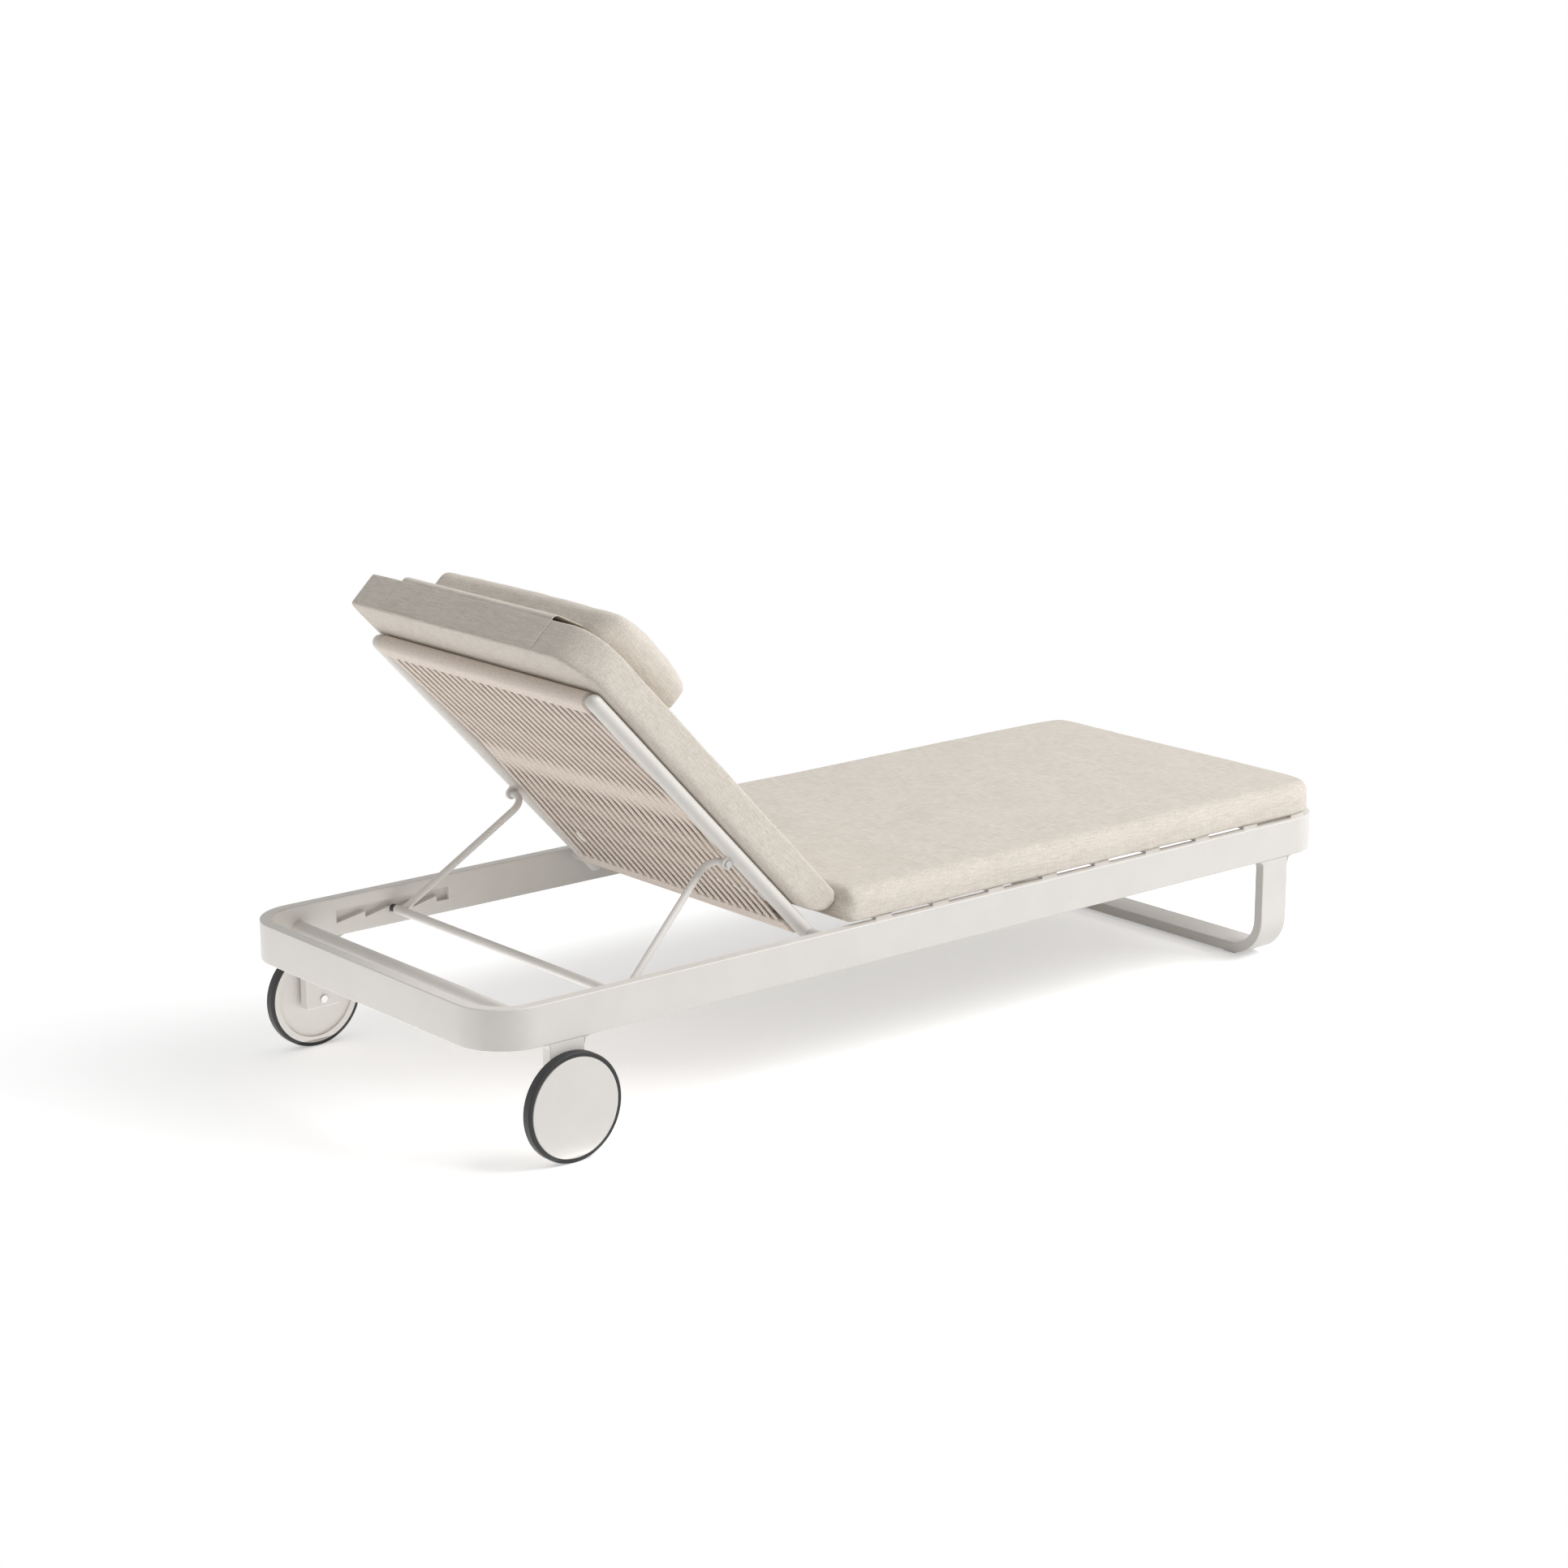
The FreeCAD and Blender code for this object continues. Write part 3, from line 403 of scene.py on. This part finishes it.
rope_braid, tree, shader = new_finish("rope_braid", ROPE_ROUGHNESS)
braid = noise(tree, pattern_space(tree, BACK_TILT, (BRAID_FINE, BRAID_DRAWN, BRAID_FINE)))
cross = noise(tree, pattern_space(tree, BACK_TILT, (BRAID_DRAWN, BRAID_FINE, BRAID_FINE)))
plait = combine(tree, "MULTIPLY", combine(tree, "ADD", braid, cross), 0.5)
rope_shade = colour_between(tree, plait, ROPE_DARK, ROPE_LIGHT, *ROPE_RAMP)
tree.links.new(rope_shade, shader.inputs["Base Color"])
raise_surface(tree, shader, plait, BRAID_STRENGTH, BRAID_HEIGHT)
shader.inputs["Sheen Weight"].default_value = ROPE_SHEEN
print("made", rope_braid.name)

# %% [markdown]
# The small parts: black tyres and black rubber sleeves, pale plastic glides and bushes, and bare
# steel for pins, axles and bolts. Even these get a grain, because a flat colour looks like a toy.

# %% Rubber, plastic and steel
GRAIN_STRENGTH = 0.2
GRAIN_GLOSS = 0.06


def grained(name, colour, roughness, grain, height, metallic=0.0, spread=0.12):
    """A plain material with a fine grain in its shade, its gloss and its surface."""
    finish, tree, shader = new_finish(name, roughness, metallic)
    lumps = noise(tree, pattern_space(tree), grain, 3, 0.6)
    tree.links.new(colour_between(tree, lumps, *shades(colour, spread)), shader.inputs["Base Color"])
    vary_gloss(tree, shader, lumps, roughness - GRAIN_GLOSS, roughness + GRAIN_GLOSS)
    raise_surface(tree, shader, lumps, GRAIN_STRENGTH, height)
    return finish


FINISHES = {
    "frame_coat": frame_coat,
    "cushion_fabric": seat_linen,
    "rope": rope_braid,
    "tyre": grained("tyre_rubber", (0.022, 0.022, 0.023), 0.62, 320, 0.0003),
    "black_rubber": grained("sleeve_rubber", (0.03, 0.03, 0.03), 0.55, 400, 0.0002),
    "pale_plastic": grained("pale_plastic", (0.66, 0.64, 0.61), 0.5, 500, 0.0001, 0.0, 0.03),
    "steel": grained("bare_steel", (0.58, 0.57, 0.56), 0.32, 260, 0.0001, 1.0, 0.06),
}
for subpart in frame["record"]["subparts"]:
    node = frame["nodes"][subpart["node"]]
    node.data.materials.clear()
    node.data.materials.append(FINISHES[subpart["material_slot"]])

# %% [markdown]
# Now the soft pieces. Modelling by hand means: add a primitive, go into edit mode, pick edges or
# faces, and run an operator on them. In a script the picking is done by a test on each edge's place.
# An operator acts on all that is selected, so each piece starts with nothing selected.

# %% Helpers for modelling
SHARP_ANGLE = math.radians(60)


def add_block(name, low, high):
    """A cube drawn out to two corners, with its place in its mesh."""
    bpy.ops.object.select_all(action="DESELECT")
    low, high = Vector(low), Vector(high)
    bpy.ops.mesh.primitive_cube_add(size=1, location=(low + high) / 2)
    piece = bpy.context.object
    piece.name = name
    piece.data.name = name
    piece.scale = high - low
    bpy.ops.object.transform_apply(location=True, rotation=True, scale=True)
    return piece


def pick_only(piece):
    """Selects one piece, makes it the active one and leaves the others out."""
    bpy.ops.object.select_all(action="DESELECT")
    piece.select_set(True)
    bpy.context.view_layer.objects.active = piece


def pick_in_mesh(piece, kind, wanted):
    """In edit mode, selects the edges or the faces that pass a test."""
    bpy.ops.mesh.select_mode(type=kind)
    bpy.ops.mesh.select_all(action="DESELECT")
    mesh = bmesh.from_edit_mesh(piece.data)
    for element in mesh.edges if kind == "EDGE" else mesh.faces:
        element.select_set(wanted(element))
    bmesh.update_edit_mesh(piece.data)


def run_of(edge):
    """How far an edge runs along each axis."""
    return edge.verts[0].co - edge.verts[1].co


def apply_all(piece):
    """Applies every modifier of a piece, in order."""
    bpy.context.view_layer.objects.active = piece
    for modifier in list(piece.modifiers):
        bpy.ops.object.modifier_apply(modifier=modifier.name)


def lay_on_back(piece):
    """Takes a piece that was modelled flat to its place on the leaning backrest."""
    pick_only(piece)
    piece.matrix_world = LEAN
    bpy.ops.object.transform_apply(location=True, rotation=True, scale=True)


def smooth(piece):
    """Smooth shading, with sharp edges kept where faces meet at a steep angle."""
    pick_only(piece)
    bpy.ops.object.shade_smooth_by_angle(angle=SHARP_ANGLE)


print("modelling helpers ready")

# %% [markdown]
# Rope. One rope is wound round the top and the bottom bar in a figure of eight: half of the strands
# leave the top bar at the rear and reach the bottom bar at the front, and the other half, half a
# pitch to the side, run the other way. They pass each other halfway down, where the slits between
# them close. So there are two sleeves over the bars and two slanting layers of strands.
# A sleeve is an open tube: half of it is deleted, its two long edges are drawn out, and a Solidify
# modifier gives the rope its thickness.

# %% Rope sleeves on the bars
BAR_FOOT = 0.017
BAR_HEAD = 0.667
ROPE_OUT = 0.0149
ROPE_THICK = 0.0053
SLEEVE_HALF = 0.3015
SLEEVE_SIDES = 48
SLEEVE_RUN_FOOT = 0.025
SLEEVE_RUN_HEAD = 0.017


def rope_sleeve(name, bar, run):
    """A hood of rope over one bar, drawn out by run along the backrest on both faces."""
    bpy.ops.object.select_all(action="DESELECT")
    bpy.ops.mesh.primitive_cylinder_add(
        vertices=SLEEVE_SIDES, radius=ROPE_OUT, depth=2 * SLEEVE_HALF, end_fill_type="NOTHING",
        location=(0, bar, 0), rotation=(0, math.pi / 2, 0))
    piece = bpy.context.object
    piece.name = name
    bpy.ops.object.transform_apply(location=True, rotation=True, scale=True)
    bpy.ops.object.mode_set(mode="EDIT")
    pick_in_mesh(piece, "FACE", lambda face: (face.calc_center_median().y - bar) * run > 0)
    bpy.ops.mesh.delete(type="FACE")
    pick_in_mesh(piece, "EDGE", lambda edge: abs(run_of(edge).x) > SLEEVE_HALF and edge.is_boundary)
    bpy.ops.mesh.extrude_edges_move(TRANSFORM_OT_translate={"value": (0, run, 0)})
    bpy.ops.object.mode_set(mode="OBJECT")
    wall = piece.modifiers.new("rope", "SOLIDIFY")
    wall.thickness = ROPE_THICK
    wall.offset = -1
    apply_all(piece)
    return piece


sleeves = [
    rope_sleeve("sleeve_foot", BAR_FOOT, SLEEVE_RUN_FOOT),
    rope_sleeve("sleeve_head", BAR_HEAD, -SLEEVE_RUN_HEAD)]
print("sleeves", [tuple(round(n, 3) for n in piece.dimensions) for piece in sleeves])

# %% [markdown]
# A strand is an oval rod, cut into short lengths so that it can wander a little. An Array modifier
# lays the strands side by side, and then each point slides to the front or the rear in proportion
# to its height, which slants the whole layer.

# %% Rope strands between the bars
STRAND_PITCH = 0.023
STRAND_WIDE = 0.0112
STRAND_COUNT = 26
STRAND_CUTS = 24
STRAND_SIDES = 16
STRAND_OVERLAP = 0.006
STRAND_LEVEL = ROPE_OUT - ROPE_THICK / 2
STRAND_WANDER = 0.0011
WANDER_LENGTH = 0.11


def rope_layer(name, shift, slant):
    """Strands side by side. slant is +1 where they stand at the rear below and at the front above."""
    low = BAR_FOOT + SLEEVE_RUN_FOOT - STRAND_OVERLAP
    high = BAR_HEAD - SLEEVE_RUN_HEAD + STRAND_OVERLAP
    first = shift - (STRAND_COUNT - 1) / 2 * STRAND_PITCH
    bpy.ops.object.select_all(action="DESELECT")
    bpy.ops.mesh.primitive_cylinder_add(
        vertices=STRAND_SIDES, radius=0.5, depth=1, end_fill_type="NGON",
        location=(first, (low + high) / 2, 0), rotation=(math.pi / 2, 0, 0))
    piece = bpy.context.object
    piece.name = name
    piece.scale = (STRAND_WIDE, ROPE_THICK, high - low)
    bpy.ops.object.transform_apply(location=True, rotation=True, scale=True)
    bpy.ops.object.mode_set(mode="EDIT")
    pick_in_mesh(piece, "EDGE", lambda edge: abs(run_of(edge).y) > STRAND_WIDE)
    bpy.ops.mesh.subdivide(number_cuts=STRAND_CUTS)
    bpy.ops.object.mode_set(mode="OBJECT")
    row = piece.modifiers.new("row", "ARRAY")
    row.count = STRAND_COUNT
    row.use_relative_offset = False
    row.use_constant_offset = True
    row.constant_offset_displace = (STRAND_PITCH, 0, 0)
    cloud = bpy.data.textures.new(f"{name}_wander", "CLOUDS")
    cloud.noise_scale = WANDER_LENGTH
    wander = piece.modifiers.new("wander", "DISPLACE")
    wander.texture = cloud
    wander.texture_coords = "LOCAL"
    wander.direction = "X"
    wander.strength = STRAND_WANDER
    apply_all(piece)
    for vertex in piece.data.vertices:
        height = (vertex.co.y - low) / (high - low)
        vertex.co.z += slant * STRAND_LEVEL * (2 * height - 1)
    return piece


layers = [
    rope_layer("strands_to_rear", -STRAND_PITCH / 4, -1),
    rope_layer("strands_to_front", STRAND_PITCH / 4, 1)]
print("strands", sum(len(layer.data.polygons) for layer in layers), "faces")

# %% Join the sling and hang it on the backrest
bpy.ops.object.select_all(action="DESELECT")
for piece in sleeves + layers:
    piece.select_set(True)
sling = sleeves[0]
bpy.context.view_layer.objects.active = sling
bpy.ops.object.join()
sling.name = "rope_sling"
sling.data.name = "rope_sling"
lay_on_back(sling)
smooth(sling)
sling.data.materials.clear()
sling.data.materials.append(rope_braid)
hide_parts("back_sling")
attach(sling, "backrest")
print("sling", tuple(round(n, 3) for n in sling.dimensions))

# %% [markdown]
# A cushion is foam in a cover: flat where it lies, softly crowned above, with edges that are round
# in one place and crisp at a seam in another, and with the small unevenness of stuffing. It starts
# as a block that is subdivided into even quads. Round edges come from sliding the points of a
# square corner onto a quarter circle, which keeps the quads even, and crisp seams from a narrow
# bevel. A short cloth simulation then blows the cover up a little, like one over foam that is
# slightly too big, and a cap keeps each point near its place. At last the underside is pressed flat
# again on what carries it.

# %% Helpers for cushions: the block
SEAM_ANGLE = math.radians(38)
SEAM_STEPS = 3


def grid_block(name, low, high, cell):
    """A block whose faces are cut into quads of about one cell."""
    piece = add_block(name, low, high)
    size = Vector(high) - Vector(low)
    bpy.ops.object.mode_set(mode="EDIT")
    for axis in range(3):
        pick_in_mesh(piece, "EDGE", lambda edge: abs(run_of(edge)[axis]) > 0.9 * run_of(edge).length)
        bpy.ops.mesh.subdivide(number_cuts=max(1, round(size[axis] / cell) - 1))
    bpy.ops.object.mode_set(mode="OBJECT")
    return piece


def round_corner(point, low, high, one, other, radius):
    """Slides a point near the corner of two faces onto a quarter circle. A face is (axis, side)."""
    shares = []
    for axis, side in (one, other):
        inside = high[axis] - point[axis] if side > 0 else point[axis] - low[axis]
        shares.append(1 - inside / radius)
    u, v = shares
    if u <= 0 or v <= 0:
        return
    moved = (u * math.sqrt(1 - v * v / 2), v * math.sqrt(1 - u * u / 2))
    for (axis, side), was, now in zip((one, other), shares, moved):
        point[axis] += side * radius * (now - was)


def round_edges(piece, low, high, edges):
    """Rounds the block's edges one after the other. An edge is two faces and a radius."""
    for vertex in piece.data.vertices:
        for one, other, radius in edges:
            round_corner(vertex.co, low, high, one, other, radius)


def crisp_seams(piece, width):
    """A narrow bevel on each edge that is still sharp."""
    bpy.ops.object.mode_set(mode="EDIT")
    pick_in_mesh(piece, "EDGE", lambda edge: edge.calc_face_angle(0) > SEAM_ANGLE)
    bpy.ops.mesh.bevel(offset=width, offset_type="OFFSET", segments=SEAM_STEPS, profile=0.5, affect="EDGES")
    bpy.ops.object.mode_set(mode="OBJECT")


def along(table, at):
    """Straight lines through a table of pairs, read at one value."""
    for (a, from_value), (b, to_value) in zip(table, table[1:]):
        if at <= b:
            return from_value + (to_value - from_value) * max(0, at - a) / (b - a)
    return table[-1][1]


def ease(share):
    """0 to 1 with a soft start and a soft end."""
    share = min(1, max(0, share))
    return share * share * (3 - 2 * share)


LEFT, RIGHT = (0, 1), (0, -1)
HEAD, FOOT = (1, 1), (1, -1)
FRONT, REAR = (2, 1), (2, -1)
print("block helpers ready")

# %% Helpers for cushions: the filling
SIM_FRAMES = 20


def blow_up(piece, pressure, cap):
    """Fills the cover: cloth under pressure, with each point's move capped."""
    before = [vertex.co.copy() for vertex in piece.data.vertices]
    cloth = piece.modifiers.new("cover", "CLOTH")
    cloth.settings.quality = 5
    cloth.settings.mass = 0.3
    cloth.settings.tension_stiffness = 15
    cloth.settings.compression_stiffness = 15
    cloth.settings.shear_stiffness = 5
    cloth.settings.bending_stiffness = 0.5
    cloth.settings.use_pressure = True
    cloth.settings.uniform_pressure_force = pressure
    cloth.settings.effector_weights.gravity = 0
    cloth.collision_settings.use_collision = False
    cloth.point_cache.frame_start = 1
    cloth.point_cache.frame_end = SIM_FRAMES
    for frame_number in range(1, SIM_FRAMES + 1):
        scene.frame_set(frame_number)
    apply_all(piece)
    scene.frame_set(1)
    for vertex, start in zip(piece.data.vertices, before):
        move = vertex.co - start
        if move.length > cap:
            vertex.co = start + move.normalized() * cap


def stuffing(piece, strength, lump):
    """Slow uneven lumps over the whole cover."""
    cloud = bpy.data.textures.new(f"{piece.name}_stuffing", "CLOUDS")
    cloud.noise_scale = lump
    uneven = piece.modifiers.new("stuffing", "DISPLACE")
    uneven.texture = cloud
    uneven.texture_coords = "LOCAL"
    uneven.strength = strength
    apply_all(piece)


def press_flat(piece, level):
    """Presses the underside onto a level bed."""
    for vertex in piece.data.vertices:
        vertex.co.z = max(vertex.co.z, level)


def fill_cushion(piece, pressure, cap, bed, lump):
    """Block to cushion: pressure, stuffing, a flat underside and one subdivision."""
    blow_up(piece, pressure, cap)
    stuffing(piece, *lump)
    press_flat(piece, bed)
    finer = piece.modifiers.new("finer", "SUBSURF")
    finer.levels = 1
    finer.render_levels = 1
    apply_all(piece)
    press_flat(piece, bed)
    pick_only(piece)
    bpy.ops.object.shade_smooth()
    print(piece.name, len(piece.data.polygons), "faces", tuple(round(n, 3) for n in piece.dimensions))


print("filling takes", SIM_FRAMES, "frames")

# %% [markdown]
# The seat cushion lies on the slats from the foot of the bed to the hinge. Its foot corners follow
# the round corners of the frame. At the head end the back cushion's foot stands against it and
# pushes it in below its top, so the end face follows that foot.

# %% Seat cushion
SEAT_SWELL = 0.003
SEAT_END = 0.2505
SEAT_THICK = 0.057
SEAT_CROWN = 0.004
SEAT_CROWN_RUN = 0.2
SEAT_CELL = 0.012
SEAT_SEAM = 0.006
SEAT_PRESSURE = 4.0
SEAT_LUMPS = (0.0035, 0.16)
SEAT_END_FROM = 0.10
SEAT_END_LINE = [
    (0.287, 0.2505), (0.300, 0.2505), (0.3075, 0.2485), (0.314, 0.2425), (0.3204, 0.2370),
    (0.331, 0.2370), (0.345, 0.2390)]
SEAT_ROUNDS = [
    (LEFT, FRONT, 0.034), (RIGHT, FRONT, 0.034), (FOOT, FRONT, 0.030), (HEAD, FRONT, 0.026),
    (HEAD, REAR, 0.012),
    (LEFT, FOOT, 0.088), (RIGHT, FOOT, 0.088), (LEFT, HEAD, 0.024), (RIGHT, HEAD, 0.024)]

seat_low, seat_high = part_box("seat_cushion")
low = Vector((seat_low.x + SEAT_SWELL, seat_low.y + SEAT_SWELL, seat_low.z))
high = Vector((seat_high.x - SEAT_SWELL, SEAT_END, seat_low.z + SEAT_THICK))
seat_pad = grid_block("seat_pad", low, high, SEAT_CELL)
round_edges(seat_pad, low, high, SEAT_ROUNDS)
for vertex in seat_pad.data.vertices:
    point = vertex.co
    share = (point.z - low.z) / SEAT_THICK
    from_ends = ease((point.y - low.y) / SEAT_CROWN_RUN) * ease((high.y - point.y) / SEAT_CROWN_RUN)
    point.z += share * SEAT_CROWN * (1 - (point.x / high.x) ** 2) * from_ends
    towards_end = min(1, max(0, (point.y - SEAT_END_FROM) / (SEAT_END - SEAT_END_FROM)))
    point.y -= towards_end ** 2 * (SEAT_END - along(SEAT_END_LINE, point.z))
crisp_seams(seat_pad, SEAT_SEAM)
fill_cushion(seat_pad, SEAT_PRESSURE, SEAT_SWELL, seat_low.z, SEAT_LUMPS)
seat_pad.data.materials.append(seat_linen)
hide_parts("seat_cushion")
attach(seat_pad, "base")

# %% [markdown]
# The back cushion lies on the sling. Its front edge is a crisp seam, its rear edge is soft, and its
# two corners at the head are arcs, the one on the sitter's right wider. Its foot end stands in the
# crease behind the seat cushion, and is cut away at the rear, so that it clears the bottom bar.

# %% Back cushion
BACK_FOOT = 0.004
BACK_HEAD = 0.760
BACK_BED = 0.0153
BACK_FRONT = 0.0875
BACK_LEFT = 0.352
BACK_RIGHT = -0.338
BACK_SWELL = 0.003
BACK_CROWN = 0.004
BACK_CROWN_RUN = 0.15
BACK_CELL = 0.011
BACK_SEAM = 0.0035
BACK_PRESSURE = 4.0
BACK_LUMPS = (0.0035, 0.15)
BACK_FOOT_RUN = 0.12
BACK_FOOT_LINE = [
    (0.0153, 0.066), (0.022, 0.044), (0.034, 0.019), (0.045, 0.007), (0.058, -0.001),
    (0.074, -0.001), (0.081, 0.008), (0.090, 0.022)]
BACK_ROUNDS = [
    (LEFT, REAR, 0.014), (RIGHT, REAR, 0.014), (HEAD, REAR, 0.005),
    (LEFT, HEAD, 0.024), (RIGHT, HEAD, 0.078), (LEFT, FOOT, 0.006), (RIGHT, FOOT, 0.006)]

low = Vector((BACK_RIGHT + BACK_SWELL, BACK_FOOT, BACK_BED))
high = Vector((BACK_LEFT - BACK_SWELL, BACK_HEAD - BACK_SWELL, BACK_FRONT - BACK_SWELL))
back_pad = grid_block("back_pad", low, high, BACK_CELL)
round_edges(back_pad, low, high, BACK_ROUNDS)
for vertex in back_pad.data.vertices:
    point = vertex.co
    share = (point.z - low.z) / (high.z - low.z)
    across = (2 * point.x - high.x - low.x) / (high.x - low.x)
    from_ends = ease((point.y - low.y) / BACK_CROWN_RUN) * ease((high.y - point.y) / BACK_CROWN_RUN)
    near_foot = max(0, 1 - (point.y - low.y) / BACK_FOOT_RUN)
    point.y += near_foot ** 2 * (along(BACK_FOOT_LINE, point.z) - low.y)
    point.z += share * BACK_CROWN * (1 - across ** 2) * from_ends
crisp_seams(back_pad, BACK_SEAM)
fill_cushion(back_pad, BACK_PRESSURE, BACK_SWELL, BACK_BED, BACK_LUMPS)
lay_on_back(back_pad)
back_pad.data.materials.append(back_linen)
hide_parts("back_cushion")
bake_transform(back_pad)

# %% [markdown]
# The head pillow is softer and fuller: its front is arched from its foot to its head, all its edges
# are round, and it swells more. Its rear face is pressed flat on the back cushion.

# %% Head pillow
PILLOW_FOOT = 0.484
PILLOW_HEAD = 0.706
PILLOW_BED = 0.0905
PILLOW_RIM = 0.162
PILLOW_HALF = 0.287
PILLOW_ARCH = 0.012
PILLOW_CROWN = 0.005
PILLOW_SWELL = 0.005
PILLOW_CELL = 0.009
PILLOW_PRESSURE = 4.5
PILLOW_LUMPS = (0.004, 0.12)
PILLOW_ROUNDS = [
    (LEFT, FRONT, 0.020), (RIGHT, FRONT, 0.020), (FOOT, FRONT, 0.020), (HEAD, FRONT, 0.015),
    (LEFT, REAR, 0.034), (RIGHT, REAR, 0.034), (FOOT, REAR, 0.032), (HEAD, REAR, 0.030),
    (LEFT, HEAD, 0.055), (RIGHT, HEAD, 0.055), (LEFT, FOOT, 0.024), (RIGHT, FOOT, 0.024)]

low = Vector((-PILLOW_HALF + PILLOW_SWELL, PILLOW_FOOT + PILLOW_SWELL, PILLOW_BED))
high = Vector((PILLOW_HALF - PILLOW_SWELL, PILLOW_HEAD - PILLOW_SWELL, PILLOW_RIM - PILLOW_SWELL))
pillow = grid_block("pillow", low, high, PILLOW_CELL)
round_edges(pillow, low, high, PILLOW_ROUNDS)
for vertex in pillow.data.vertices:
    point = vertex.co
    share = (point.z - low.z) / (high.z - low.z)
    up = (point.y - low.y) / (high.y - low.y) * 2 - 1
    across = point.x / high.x
    point.z += share * (PILLOW_ARCH * (1 - up * up) + PILLOW_CROWN * (1 - across * across))
fill_cushion(pillow, PILLOW_PRESSURE, PILLOW_SWELL, PILLOW_BED, PILLOW_LUMPS)
lay_on_back(pillow)
pillow.data.materials.append(back_linen)
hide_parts("head_pillow")
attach(pillow, "backrest")

# %% [markdown]
# The pillow hangs from a wide flap of the same cloth. It leaves the pillow's rear edge, bridges to
# the head end of the back cushion and hangs down its end face to the rear edge, where its hem shows.
# It is a strip: one edge is extruded step by step along the profile, and the strip is subdivided.

# %% Pillow flap
FLAP_LEFT = 0.236
FLAP_RIGHT = -0.206
FLAP_CUTS = 60
FLAP_PROFILE = [
    (0.6850, 0.1205), (0.7040, 0.1130), (0.7240, 0.1055), (0.7420, 0.0990), (0.7535, 0.0945),
    (0.7600, 0.0905), (0.7622, 0.0855), (0.7626, 0.0770), (0.7626, 0.0640), (0.7626, 0.0510),
    (0.7626, 0.0380), (0.7620, 0.0280), (0.7610, 0.0205)]
FLAP_WIDE = FLAP_LEFT - FLAP_RIGHT

bpy.ops.object.select_all(action="DESELECT")
first, second = FLAP_PROFILE[0], FLAP_PROFILE[1]
bpy.ops.mesh.primitive_plane_add(size=1, location=((FLAP_LEFT + FLAP_RIGHT) / 2, 0, 0))
flap = bpy.context.object
flap.name = "pillow_flap"
flap.data.name = "pillow_flap"
flap.scale = (FLAP_WIDE, 1, 1)
bpy.ops.object.transform_apply(location=True, rotation=True, scale=True)
for vertex in flap.data.vertices:
    vertex.co.y, vertex.co.z = first if vertex.co.y < 0 else second
bpy.ops.object.mode_set(mode="EDIT")
halfway = (first[0] + second[0]) / 2
pick_in_mesh(flap, "EDGE", lambda edge: min(vertex.co.y for vertex in edge.verts) > halfway)
for (s_from, w_from), (s_to, w_to) in zip(FLAP_PROFILE[1:], FLAP_PROFILE[2:]):
    bpy.ops.mesh.extrude_edges_move(TRANSFORM_OT_translate={"value": (0, s_to - s_from, w_to - w_from)})
pick_in_mesh(flap, "EDGE", lambda edge: abs(run_of(edge).x) > FLAP_WIDE / 2)
bpy.ops.mesh.subdivide(number_cuts=FLAP_CUTS)
bpy.ops.mesh.select_all(action="SELECT")
bpy.ops.mesh.normals_make_consistent(inside=False)
bpy.ops.object.mode_set(mode="OBJECT")

# %% [markdown]
# The hem waves a little. A Shrinkwrap modifier then lays the hanging part on the cushion, wherever
# the filling has pushed the cover: a vertex group says how firmly each point is held there. The part
# that bridges to the pillow stays free. Solidify at last gives the cloth its two layers.

# %% Wavy hem, place and thickness of the flap
FLAP_THICK = 0.0015
FLAP_OFF = 0.0007
HEM_WAVE = 0.0011
HEM_FROM = 0.045
HEM_RUN = 0.02
WAVE_TURNS = 41
WAVE_UNEVEN = 1.3
WAVE_UNEVEN_TURNS = 17
HANG_FROM = 0.0945
HANG_RUN = 0.008

hanging = flap.vertex_groups.new(name="hanging")
for vertex in flap.data.vertices:
    point = vertex.co
    hem = ease((HEM_FROM - point.z) / HEM_RUN)
    uneven = WAVE_UNEVEN * math.sin(WAVE_UNEVEN_TURNS * point.x)
    point.z += hem * HEM_WAVE * math.sin(WAVE_TURNS * point.x + uneven)
    hanging.add([vertex.index], ease((HANG_FROM - point.z) / HANG_RUN), "REPLACE")
lay_on_back(flap)
finer = flap.modifiers.new("finer", "SUBSURF")
finer.levels = 1
finer.render_levels = 1
hug = flap.modifiers.new("hug", "SHRINKWRAP")
hug.target = back_pad
hug.wrap_method = "NEAREST_SURFACEPOINT"
hug.wrap_mode = "ABOVE_SURFACE"
hug.offset = FLAP_OFF
hug.vertex_group = "hanging"
skin = flap.modifiers.new("skin", "SOLIDIFY")
skin.thickness = FLAP_THICK
skin.offset = 1
apply_all(flap)
smooth(flap)
flap.data.materials.append(back_linen)
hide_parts("pillow_strap")
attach(flap, "backrest")
print("flap", tuple(round(n, 3) for n in flap.dimensions))
